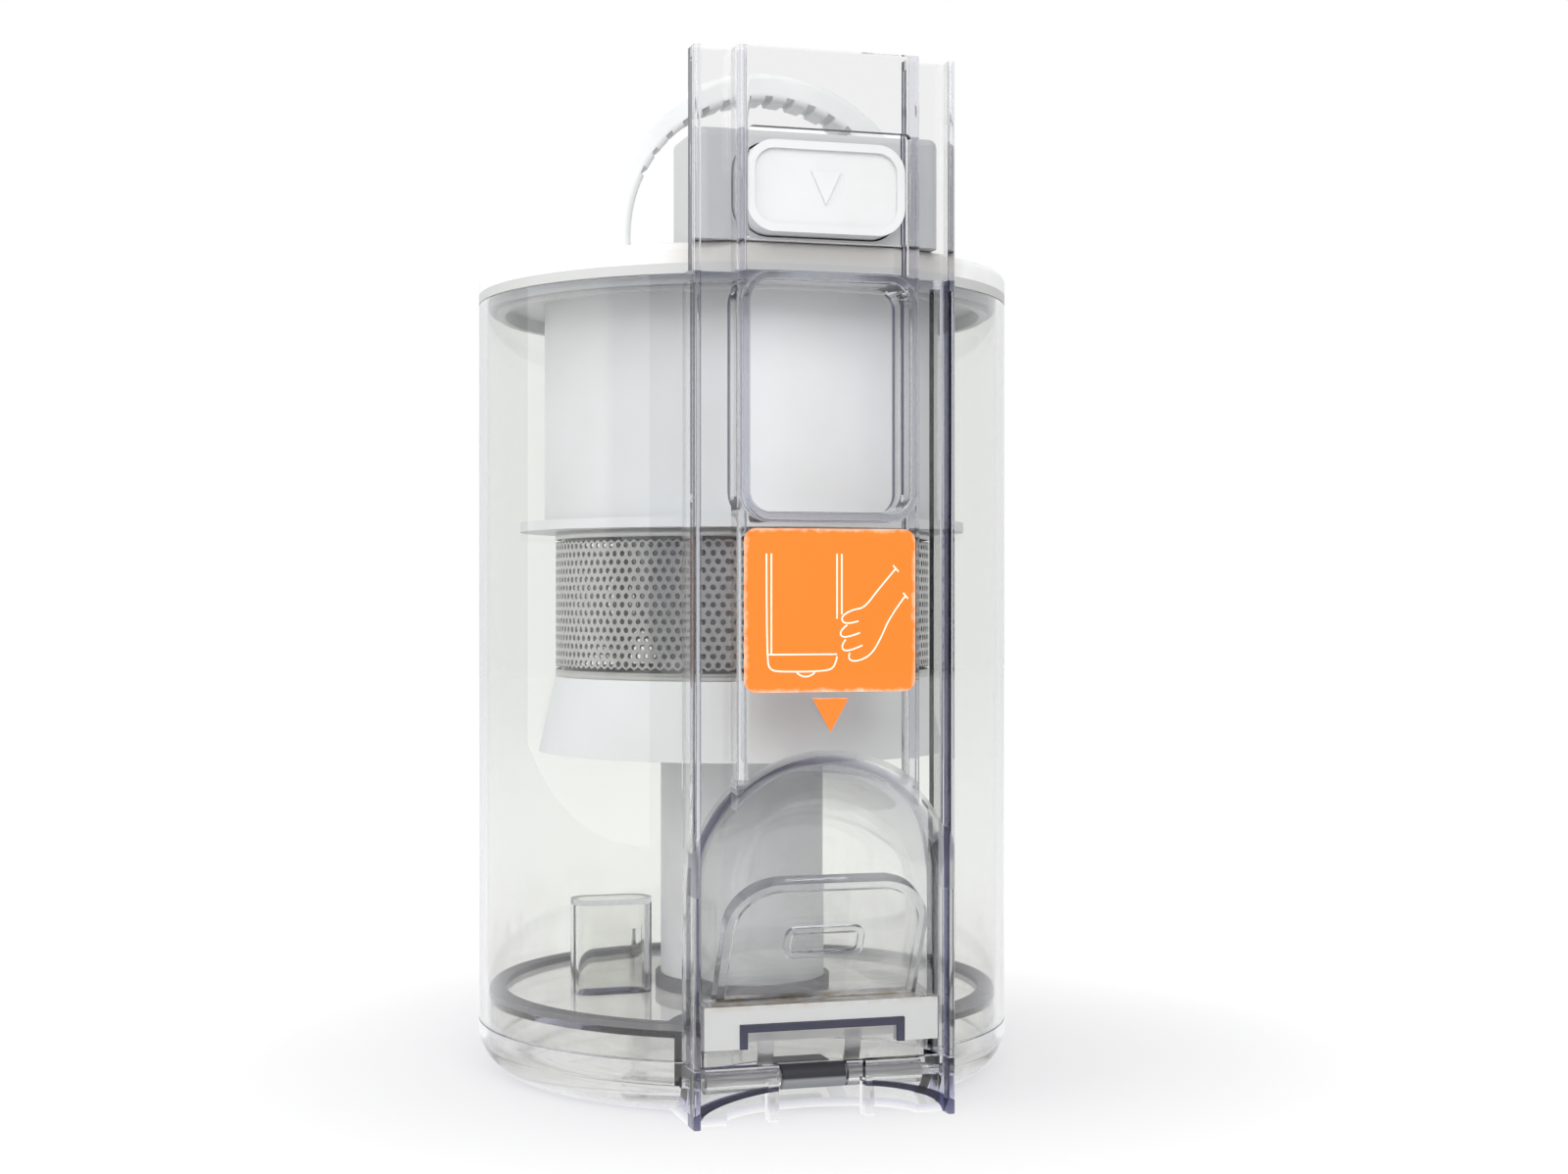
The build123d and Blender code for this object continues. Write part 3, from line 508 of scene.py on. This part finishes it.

# Leaf spring of the button
# A bowed steel leaf between the button and its housing.
# A copy stands in the place of the plain spring, fixed to the lid with a mesh of its own.
bow_spring = bpy.data.objects.new("button_bow_spring", nodes["button_spring"].data.copy())
bpy.context.scene.collection.objects.link(bow_spring)
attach(bow_spring, "lid")
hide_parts("button_spring")
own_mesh(bow_spring)

# Release lever
# A clear moulded lever: a ledge bar on the pin, with a leaning pull tab that has a thick beaded edge.
# Brown dust gathers in the crease between the tab and the bar. The catch behind it is grey plastic.
lever_low, lever_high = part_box("release_lever")
ledge_low_z = 0.0180
ledge_high_z = 0.0283
crease_z = 0.0288
crease_half = 0.0010
notch_half = 0.0209
notch_top_z = 0.0239
ledge_front_y = -0.0708
crease_brown = (0.56, 0.46, 0.34, 1.0)
crease_reach = 0.0016
tab_low_z = 0.0300
tab_cover = 0.85
frost_white = (0.72, 0.73, 0.72, 1.0)
frost_inset = 0.0004
frost_y = -0.07102
frost_wall = 0.0001


def ledge_group():
    """Satin face of the ledge bar, brown dust in the crease above it and painted navy shade on the rim of the
    notch below.
    """
    group, given, result = new_group(
        "ledge bar",
        {
            "Low": ledge_low_z,
            "High": ledge_high_z,
            "Crease": crease_z,
            "Notch": notch_half,
            "Rim": notch_top_z,
        },
        zone_outputs,
    )
    x, y, z = object_place(group)
    over = maths(group, "GREATER_THAN", z, given.outputs["Low"])
    bar = maths(group, "MULTIPLY", over, maths(group, "LESS_THAN", z, given.outputs["High"]))
    line = maths(group, "COMPARE", z, given.outputs["Crease"], crease_half)
    patch = ranged(group, noise(group, 260.0, 5.0), 0.35, 0.6)
    brown = mixed(group, maths(group, "MULTIPLY", line, patch), paper_white, crease_brown)
    inside = maths(group, "LESS_THAN", maths(group, "ABSOLUTE", x), given.outputs["Notch"])
    corner = maths(group, "MULTIPLY", inside, maths(group, "LESS_THAN", z, given.outputs["Rim"]))
    # Painted shade: the front rim of the notch turns navy.
    rim = maths(group, "MULTIPLY", corner, maths(group, "LESS_THAN", y, ledge_front_y))
    tab = maths(group, "GREATER_THAN", z, tab_low_z)
    cover = maths(group, "MULTIPLY_ADD", tab, tab_cover - 1.0, 1.0)
    feed(group, result, (bar, mixed(group, rim, brown, navy_edge_shade), cover))
    return group


lever_dust = (lever_low.z, lever_low.z + 0.030, 0.30)
dress(["release_lever"], clear_plastic("clear lever plastic", lever_dust, ledge_group()))


def frosted_face():
    """Frosted face of the ledge bar, which the mould's texture leaves white, soiled towards the crease."""
    material = new_material("frosted ledge face")
    tree = material.node_tree
    near = ranged(tree, object_place(tree)["Z"], ledge_high_z - crease_reach, ledge_high_z)
    patch = ranged(tree, noise(tree, 150.0, 6.0, 0.7), 0.40, 0.70)
    colour = mixed(tree, maths(tree, "MULTIPLY", near, patch), frost_white, crease_brown)
    sockets = {"Base Color": colour, "Roughness": 0.5, "IOR": clear_ior, "Transmission Weight": 0.35}
    surface(tree, principled(tree, sockets))
    return material


def ledge_skin():
    """Thin skin on the front of the ledge bar, round its notch."""
    half = lever_high.x - frost_inset
    outline = [
        (-half, ledge_low_z),
        (-notch_half, ledge_low_z),
        (-notch_half, notch_top_z),
        (notch_half, notch_top_z),
        (notch_half, ledge_low_z),
        (half, ledge_low_z),
        (half, ledge_high_z),
        (-half, ledge_high_z),
    ]
    count = len(outline)
    front = [(x, frost_y - frost_wall, z) for x, z in outline]
    back = [(x, frost_y, z) for x, z in outline]
    faces = [tuple(range(count)), tuple(range(2 * count - 1, count - 1, -1))]
    for start in range(count):
        end = (start + 1) % count
        faces.append((end, start, start + count, end + count))
    mesh = bpy.data.meshes.new("ledge_face")
    mesh.from_pydata(front + back, [], faces)
    mesh.materials.append(frosted_face())
    skin = bpy.data.objects.new("ledge_face", mesh)
    bpy.context.scene.collection.objects.link(skin)
    return skin


ledge_face = ledge_skin()
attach(ledge_face, "lever")

# Grey mouldings
# The lid, handle, button housing and cyclone are light grey satin plastic with a fine moulded grain.
# Fine dust leaves a warm film on them, most of it low down on the skirt and the dust tube.
grey_pale = (0.80, 0.805, 0.81, 1.0)
grey_light = (0.66, 0.675, 0.68, 1.0)
grey_warm = (0.60, 0.605, 0.60, 1.0)
grey_deep = (0.47, 0.475, 0.475, 1.0)
grey_dust = (0.50, 0.48, 0.45, 1.0)
grey_catch = (0.26, 0.265, 0.275, 1.0)
# Painted shade: nearly black for the shadowed recess of the catch.
painted_recess_shade = (0.02, 0.02, 0.025, 1.0)
front_darkening_y = (-0.0640, -0.0560)
recess_shade_share = (0.52, 0.60)
handle_front_darkening = 0.85


def moulded_grain_group():
    """Fine spark-eroded grain of a satin moulding, and a slow shade across it."""
    group, given, result = new_group(
        "moulded grain",
        {"Scale": 1800.0, "Depth": 0.00006},
        {"Shade": "NodeSocketFloat", "Normal": "NodeSocketVector"},
    )
    grain = noise(group, given.outputs["Scale"], 3.0, 0.6)
    feed(group, result, (noise(group, 22.0, 4.0), bumped(group, grain, 0.5, given.outputs["Depth"])))
    return group


moulded_grain = moulded_grain_group()


def grey_plastic(name, pair, dust, front_darkening=0.0):
    """Satin grey plastic between two shades, with dust in a band of heights and a darker, warmer tone at the
    front behind the spine.
    """
    material = new_material(name)
    tree = material.node_tree
    low, high, amount = dust
    grain = use_group(tree, moulded_grain)
    film = use_group(tree, settled_dust, Low=low, High=high, Amount=amount)["Mask"]
    shade = mixed(tree, ranged(tree, grain["Shade"], 0.42, 0.75), pair[0], pair[1])
    # Darker and warmer towards the front, where the part sits behind the spine.
    behind = ranged(tree, object_place(tree)["Y"], front_darkening_y[0], front_darkening_y[1], front_darkening, 0.0)
    soiled = maths(tree, "MAXIMUM", behind, film)
    colour = mixed(tree, soiled, shade, grey_dust)
    rough = ranged(tree, soiled, 0.0, 1.0, 0.42, 0.68)
    sockets = {"Base Color": colour, "Roughness": rough, "Normal": grain["Normal"], "IOR": 1.46}
    surface(tree, principled(tree, sockets))
    return material


def catch_plastic():
    """Mid grey plastic of the catch, with painted shade that turns it nearly black over the recess above its
    tongue.
    """
    material = new_material("catch plastic")
    tree = material.node_tree
    low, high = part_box("latch_catch")
    start, end = (low.z + share * (high.z - low.z) for share in recess_shade_share)
    # Painted shade: the upper band of the catch goes nearly black where its recess lies in shadow.
    recess = ranged(tree, object_place(tree)["Z"], start, end)
    colour = mixed(tree, recess, grey_catch, painted_recess_shade)
    grain = use_group(tree, moulded_grain)["Normal"]
    surface(tree, principled(tree, {"Base Color": colour, "Roughness": 0.5, "Normal": grain}))
    return material


pale_nodes = ["handle", "lid_cover"]
lid_nodes = ["lid", "catch_housing"]
cyclone_nodes = ["release_button", "shroud", "shroud_skirt", "cyclone_cone", "vortex_tube", "dust_tube"]
rim_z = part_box("lid")[0].z
tube_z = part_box("dust_tube")[0].z
rim_dust = (rim_z, rim_z + 0.012, 0.5)
tube_dust = (tube_z, tube_z + 0.09, 0.6)
dress(pale_nodes, grey_plastic("pale grey handle plastic", (grey_pale, grey_light), rim_dust, handle_front_darkening))
dress(lid_nodes, grey_plastic("grey lid plastic", (grey_deep, grey_deep), rim_dust))
dress(cyclone_nodes, grey_plastic("light grey cyclone plastic", (grey_light, grey_warm), tube_dust))
dress(["latch_catch"], catch_plastic())

# Perforated band
# Stainless sheet with 1.5 mm holes on a staggered pitch, rolled into a ring and hemmed at both ends.
# A hexagonal tile with a round hole is repeated over the flat sheet, which is then rolled up.
hole_width = 0.0015
sheet_wall = 0.0005
hem_height = 0.0020
hem_proud = 0.0001
band_bright = (0.58, 0.575, 0.57, 1.0)
band_dusty = (0.36, 0.34, 0.31, 1.0)
merge_gap = 0.00002
hole_columns = 127
hole_sides = 12
hem_sides = 180
band_low, band_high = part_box("mesh_screen")
band_r = (band_high.x - band_low.x) / 2
band_height = band_high.z - band_low.z
pitch = 2 * math.pi * band_r / hole_columns
row_step = pitch * math.sqrt(3) / 2
hole_rows = int((band_height - 2 * hem_height) / row_step)


def perforated_sheet_tree():
    """Geometry tree of the rolled sheet: tile, staggered grid, wall and roll."""
    tree = bpy.data.node_groups.new("perforated sheet", "GeometryNodeTree")
    tree.interface.new_socket("Geometry", in_out="OUTPUT", socket_type="NodeSocketGeometry")
    for socket in ("Pitch", "Hole", "Radius", "Wall", "Low", "Hem", "Bottom", "Top"):
        tree.interface.new_socket(socket, in_out="INPUT", socket_type="NodeSocketFloat")
    for socket in ("Columns", "Rows"):
        tree.interface.new_socket(socket, in_out="INPUT", socket_type="NodeSocketInt")
    tree.interface.new_socket("Finish", in_out="INPUT", socket_type="NodeSocketMaterial")
    given = put(tree, "NodeGroupInput")
    result = put(tree, "NodeGroupOutput")
    link = tree.links.new

    # Hexagon with points in the middle of its sides, drawn in to a round hole
    corner_r = maths(tree, "DIVIDE", given.outputs["Pitch"], math.sqrt(3))
    hexagon = put(tree, "GeometryNodeMeshCircle", {"Vertices": hole_sides}, fill_type="NGON")
    link(corner_r, hexagon.inputs["Radius"])
    index = put(tree, "GeometryNodeInputIndex")
    odd = maths(tree, "MODULO", index.outputs["Index"], 2.0)
    shrink = maths(tree, "SUBTRACT", 1.0, maths(tree, "MULTIPLY", odd, 1 - math.cos(math.pi / 6)))
    where = put(tree, "GeometryNodeInputPosition")
    scaled = put(tree, "ShaderNodeVectorMath", operation="SCALE")
    link(where.outputs["Position"], scaled.inputs[0])
    link(shrink, scaled.inputs["Scale"])
    straight = put(tree, "GeometryNodeSetPosition")
    link(hexagon.outputs["Mesh"], straight.inputs["Geometry"])
    link(scaled.outputs["Vector"], straight.inputs["Position"])
    drawn = put(tree, "GeometryNodeExtrudeMesh", {"Offset Scale": 0.0, "Individual": False}, mode="FACES")
    link(straight.outputs["Geometry"], drawn.inputs["Mesh"])
    unit = put(tree, "ShaderNodeVectorMath", operation="NORMALIZE")
    link(where.outputs["Position"], unit.inputs[0])
    ring = put(tree, "ShaderNodeVectorMath", operation="SCALE")
    link(unit.outputs["Vector"], ring.inputs[0])
    link(maths(tree, "MULTIPLY", given.outputs["Hole"], 0.5), ring.inputs["Scale"])
    round_hole = put(tree, "GeometryNodeSetPosition")
    link(drawn.outputs["Mesh"], round_hole.inputs["Geometry"])
    link(drawn.outputs["Top"], round_hole.inputs["Selection"])
    link(ring.outputs["Vector"], round_hole.inputs["Position"])
    tile = put(tree, "GeometryNodeDeleteGeometry", domain="FACE", mode="ONLY_FACE")
    link(round_hole.outputs["Geometry"], tile.inputs["Geometry"])
    link(drawn.outputs["Top"], tile.inputs["Selection"])

    # Staggered grid of tiles on the flat sheet
    count = maths(tree, "MULTIPLY", given.outputs["Columns"], given.outputs["Rows"])
    spots = put(tree, "GeometryNodePoints")
    link(count, spots.inputs["Count"])
    row = maths(tree, "FLOOR", maths(tree, "DIVIDE", index.outputs["Index"], given.outputs["Columns"]))
    column = maths(tree, "MODULO", index.outputs["Index"], given.outputs["Columns"])
    stagger = maths(tree, "MULTIPLY", maths(tree, "MODULO", row, 2.0), 0.5)
    across = maths(tree, "MULTIPLY", maths(tree, "ADD", column, stagger), given.outputs["Pitch"])
    up = maths(tree, "MULTIPLY", row, maths(tree, "MULTIPLY", given.outputs["Pitch"], math.sqrt(3) / 2))
    grid = put(tree, "GeometryNodeSetPosition")
    link(spots.outputs["Points"], grid.inputs["Geometry"])
    link(vector(tree, across, up, 0.0), grid.inputs["Position"])
    copies = put(tree, "GeometryNodeInstanceOnPoints")
    link(grid.outputs["Geometry"], copies.inputs["Points"])
    link(tile.outputs["Geometry"], copies.inputs["Instance"])
    turned = put(tree, "FunctionNodeEulerToRotation")
    turned.inputs["Euler"].default_value = (0.0, 0.0, math.pi / 2)
    link(turned.outputs["Rotation"], copies.inputs["Rotation"])
    real = put(tree, "GeometryNodeRealizeInstances")
    link(copies.outputs["Instances"], real.inputs["Geometry"])

    # Roll the sheet into a ring, join it up and give it its wall
    flat = put(tree, "ShaderNodeSeparateXYZ")
    link(where.outputs["Position"], flat.inputs["Vector"])
    angle = maths(tree, "DIVIDE", flat.outputs["X"], given.outputs["Radius"])
    inner_r = maths(tree, "SUBTRACT", given.outputs["Radius"], given.outputs["Wall"])
    rolled = put(tree, "GeometryNodeSetPosition")
    link(real.outputs["Geometry"], rolled.inputs["Geometry"])
    link(
        vector(
            tree,
            maths(tree, "MULTIPLY", inner_r, maths(tree, "COSINE", angle)),
            maths(tree, "MULTIPLY", inner_r, maths(tree, "SINE", angle)),
            maths(tree, "ADD", flat.outputs["Y"], given.outputs["Low"]),
        ),
        rolled.inputs["Position"],
    )
    joined = put(tree, "GeometryNodeMergeByDistance", {"Distance": merge_gap})
    link(rolled.outputs["Geometry"], joined.inputs["Geometry"])
    outer = put(tree, "GeometryNodeExtrudeMesh", {"Individual": False}, mode="FACES")
    link(joined.outputs["Geometry"], outer.inputs["Mesh"])
    link(given.outputs["Wall"], outer.inputs["Offset Scale"])
    inner = put(tree, "GeometryNodeFlipFaces")
    link(joined.outputs["Geometry"], inner.inputs["Mesh"])
    both = put(tree, "GeometryNodeJoinGeometry")
    link(outer.outputs["Mesh"], both.inputs["Geometry"])
    link(inner.outputs["Mesh"], both.inputs["Geometry"])
    closed = put(tree, "GeometryNodeMergeByDistance", {"Distance": merge_gap})
    link(both.outputs["Geometry"], closed.inputs["Geometry"])

    # Plain hems round both ends
    round_way = put(tree, "GeometryNodeCurvePrimitiveCircle", {"Resolution": hem_sides})
    half_wall = maths(tree, "MULTIPLY", given.outputs["Wall"], 0.5)
    link(maths(tree, "SUBTRACT", given.outputs["Radius"], half_wall), round_way.inputs["Radius"])
    profile = put(tree, "GeometryNodeCurvePrimitiveQuadrilateral")
    link(maths(tree, "ADD", given.outputs["Wall"], 2 * hem_proud), profile.inputs["Width"])
    link(given.outputs["Hem"], profile.inputs["Height"])
    hem = put(tree, "GeometryNodeCurveToMesh")
    link(round_way.outputs["Curve"], hem.inputs["Curve"])
    link(profile.outputs["Curve"], hem.inputs["Profile Curve"])
    whole = put(tree, "GeometryNodeJoinGeometry")
    link(closed.outputs["Geometry"], whole.inputs["Geometry"])
    half_hem = maths(tree, "MULTIPLY", given.outputs["Hem"], 0.5)
    for height in (
        maths(tree, "ADD", given.outputs["Bottom"], half_hem),
        maths(tree, "SUBTRACT", given.outputs["Top"], half_hem),
    ):
        lifted = put(tree, "GeometryNodeTransform")
        link(hem.outputs["Mesh"], lifted.inputs["Geometry"])
        link(vector(tree, 0.0, 0.0, height), lifted.inputs["Translation"])
        link(lifted.outputs["Geometry"], whole.inputs["Geometry"])
    solid = put(tree, "GeometryNodeRealizeInstances")
    link(whole.outputs["Geometry"], solid.inputs["Geometry"])
    finish = put(tree, "GeometryNodeSetMaterial")
    link(solid.outputs["Geometry"], finish.inputs["Geometry"])
    link(given.outputs["Finish"], finish.inputs["Material"])
    link(finish.outputs["Geometry"], result.inputs["Geometry"])
    return tree


def band_steel():
    """Satin stainless sheet with a rolled direction and dust in the low holes."""
    material = new_material("perforated stainless sheet")
    tree = material.node_tree
    rolled = noise(tree, 1500.0, 5.0, stretch=(1.0, 1.0, 0.06))
    dust = {"Low": band_low.z, "High": band_high.z, "Amount": 0.35, "Scale": 90.0}
    colour = mixed(tree, use_group(tree, settled_dust, **dust)["Mask"], band_bright, band_dusty)
    rough = ranged(tree, rolled, 0.0, 1.0, 0.26, 0.5)
    surface(tree, principled(tree, {"Base Color": colour, "Roughness": rough, "Metallic": 1.0}))
    return material


def perforated_band():
    """The rolled sheet as one mesh, in the place of the plain band."""
    tree = perforated_sheet_tree()
    maker = bpy.data.objects.new("band maker", bpy.data.meshes.new("band maker"))
    bpy.context.scene.collection.objects.link(maker)
    steel = band_steel()
    first_row = band_low.z + (band_height - (hole_rows - 1) * row_step) / 2
    sizes = {
        "Pitch": pitch,
        "Hole": hole_width,
        "Radius": band_r - hem_proud,
        "Wall": sheet_wall,
        "Low": first_row,
        "Hem": hem_height,
        "Bottom": band_low.z,
        "Top": band_high.z,
        "Columns": hole_columns,
        "Rows": hole_rows,
        "Finish": steel,
    }
    modifier = maker.modifiers.new("perforated sheet", "NODES")
    modifier.node_group = tree
    for socket in tree.interface.items_tree:
        if socket.in_out == "INPUT":
            modifier[socket.identifier] = sizes[socket.name]
    return plain_mesh(maker, "perforated_band", steel)


perforated = perforated_band()
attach(perforated, "lid")
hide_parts("mesh_screen")

# Studio
# A white table and sweep, with a large softbox at the left and a smaller light up in front.
# The sweep is open towards the camera, so the drum mirrors a darker room in front and the softbox.
floor_half = 3.0
room_grey = (0.08, 0.08, 0.15, 1.0)
room_edge = (0.46, 0.58)
ambient = 0.78
softbox_level = 1.2
top_level = 3.9
top_size = (0.8, 0.8)
top_place = (-0.17, -0.98, 0.78)
top_aim = (0.0, 0.0, 0.13)
table_white = (0.42, 0.42, 0.425, 1.0)
table_bounce = (0.80, 0.80, 0.80, 1.0)
table_glow = 0.68
table_shaded_near = 0.47
table_far = 0.84
table_shade_reach = (0.08, 0.34)
softbox_size = (1.5, 1.3)
softbox_x = -0.9
softbox_edge = (-0.40, 0.166)
softbox_lean = 35.0
camera_place = (-0.168, -0.587, 0.126)
camera_turn = -16.0
camera_focal_px = 2290
camera_width_px = 1600
camera_axis_px = (758, 610)
camera_centre_px = (800, 599)
sensor_mm = 36.0


def white_table():
    """Floor that is white to the camera and in glass; near the bin its camera glow is weaker, a painted shade
    that adds to the real shadow.
    """
    material = new_material("white table")
    tree = material.node_tree
    path = put(tree, "ShaderNodeLightPath").outputs
    away = reach(tree, *object_place(tree))
    # Painted shade: the camera glow is weaker close to the bin, darkening the floor round it beside the
    # lamps' real shadow.
    fade = ranged(tree, away, table_shade_reach[0], table_shade_reach[1], table_shaded_near, table_far, "SMOOTHSTEP")
    straight = maths(tree, "MULTIPLY", path["Is Camera Ray"], fade)
    bent = maths(tree, "MAXIMUM", path["Is Transmission Ray"], path["Is Glossy Ray"])
    matt = put(tree, "ShaderNodeBsdfDiffuse")
    fill(tree, matt.inputs["Color"], mixed(tree, path["Is Diffuse Ray"], table_white, table_bounce))
    glow = put(tree, "ShaderNodeEmission")
    fill(tree, glow.inputs["Strength"], maths(tree, "MULTIPLY_ADD", bent, table_glow, straight))
    both = put(tree, "ShaderNodeAddShader")
    feed(tree, both, (matt.outputs["BSDF"], glow.outputs["Emission"]))
    surface(tree, both.outputs["Shader"])
    return material


def white_sweep():
    """World that is white to the eye and in glass, greyer in the reflection of the room in front."""
    world = bpy.data.worlds.new("white sweep")
    world.use_nodes = True
    tree = world.node_tree
    tree.nodes.clear()
    path = put(tree, "ShaderNodeLightPath").outputs
    place = put(tree, "ShaderNodeTexCoord")
    turn = math.radians(camera_turn)
    towards = put(tree, "ShaderNodeVectorMath", operation="DOT_PRODUCT")
    feed(tree, towards, (place.outputs["Generated"], (math.sin(turn), -math.cos(turn), 0.0)))
    front = ranged(tree, towards.outputs["Value"], room_edge[0], room_edge[1], kind="SMOOTHSTEP")
    bent = maths(tree, "MAXIMUM", path["Is Glossy Ray"], path["Is Transmission Ray"])
    seen = maths(tree, "MAXIMUM", path["Is Camera Ray"], bent)
    sky = put(tree, "ShaderNodeBackground")
    fill(tree, sky.inputs["Color"], mixed(tree, maths(tree, "MULTIPLY", front, bent), paper_white, room_grey))
    fill(tree, sky.inputs["Strength"], ranged(tree, seen, 0.0, 1.0, ambient, 1.0))
    output = put(tree, "ShaderNodeOutputWorld")
    fill(tree, output.inputs["Surface"], sky.outputs["Background"])
    return world


def area_light(name, size, place, turn, level):
    """Area light of a given brightness, which shines down its own -Z and shows only in reflections."""
    lamp = bpy.data.lights.new(name, "AREA")
    lamp.shape = "RECTANGLE"
    lamp.size, lamp.size_y = size
    lamp.energy = math.pi * size[0] * size[1] * level
    holder = bpy.data.objects.new(name, lamp)
    holder.location = place
    holder.rotation_euler = turn
    holder.visible_camera = False
    holder.visible_transmission = False
    bpy.context.scene.collection.objects.link(holder)


floor_mesh = bpy.data.meshes.new("table")
floor_mesh.from_pydata(
    [(x * floor_half, y * floor_half, 0) for x, y in ((-1, -1), (1, -1), (1, 1), (-1, 1))],
    [],
    [(0, 1, 2, 3)],
)
floor = bpy.data.objects.new("table", floor_mesh)
floor_mesh.materials.append(white_table())
bpy.context.scene.collection.objects.link(floor)
bpy.context.scene.world = white_sweep()
lean = math.radians(softbox_lean)
softbox_middle = (
    softbox_x,
    softbox_edge[0] + math.cos(lean) * softbox_size[1] / 2,
    softbox_edge[1] + math.sin(lean) * softbox_size[1] / 2,
)
area_light("left softbox", softbox_size, softbox_middle, (lean, -math.pi / 2, 0.0), softbox_level)
top_way = [end - start for start, end in zip(top_place, top_aim)]
top_tilt = math.atan2(math.hypot(top_way[0], top_way[1]), -top_way[2])
top_heading = math.atan2(top_way[1], top_way[0]) - math.pi / 2
area_light("front top light", top_size, top_place, (top_tilt, 0.0, top_heading), top_level)

camera = bpy.data.cameras.new("camera")
camera.sensor_width = sensor_mm
camera.lens = sensor_mm * camera_focal_px / camera_width_px
camera.shift_x = (camera_centre_px[0] - camera_axis_px[0]) / camera_width_px
camera.shift_y = (camera_axis_px[1] - camera_centre_px[1]) / camera_width_px
camera.clip_start = 0.01
camera_object = bpy.data.objects.new("camera", camera)
camera_object.location = camera_place
camera_object.rotation_euler = (math.pi / 2, 0.0, math.radians(camera_turn))
bpy.context.scene.collection.objects.link(camera_object)
bpy.context.scene.camera = camera_object
bpy.context.scene.view_settings.view_transform = "Standard"
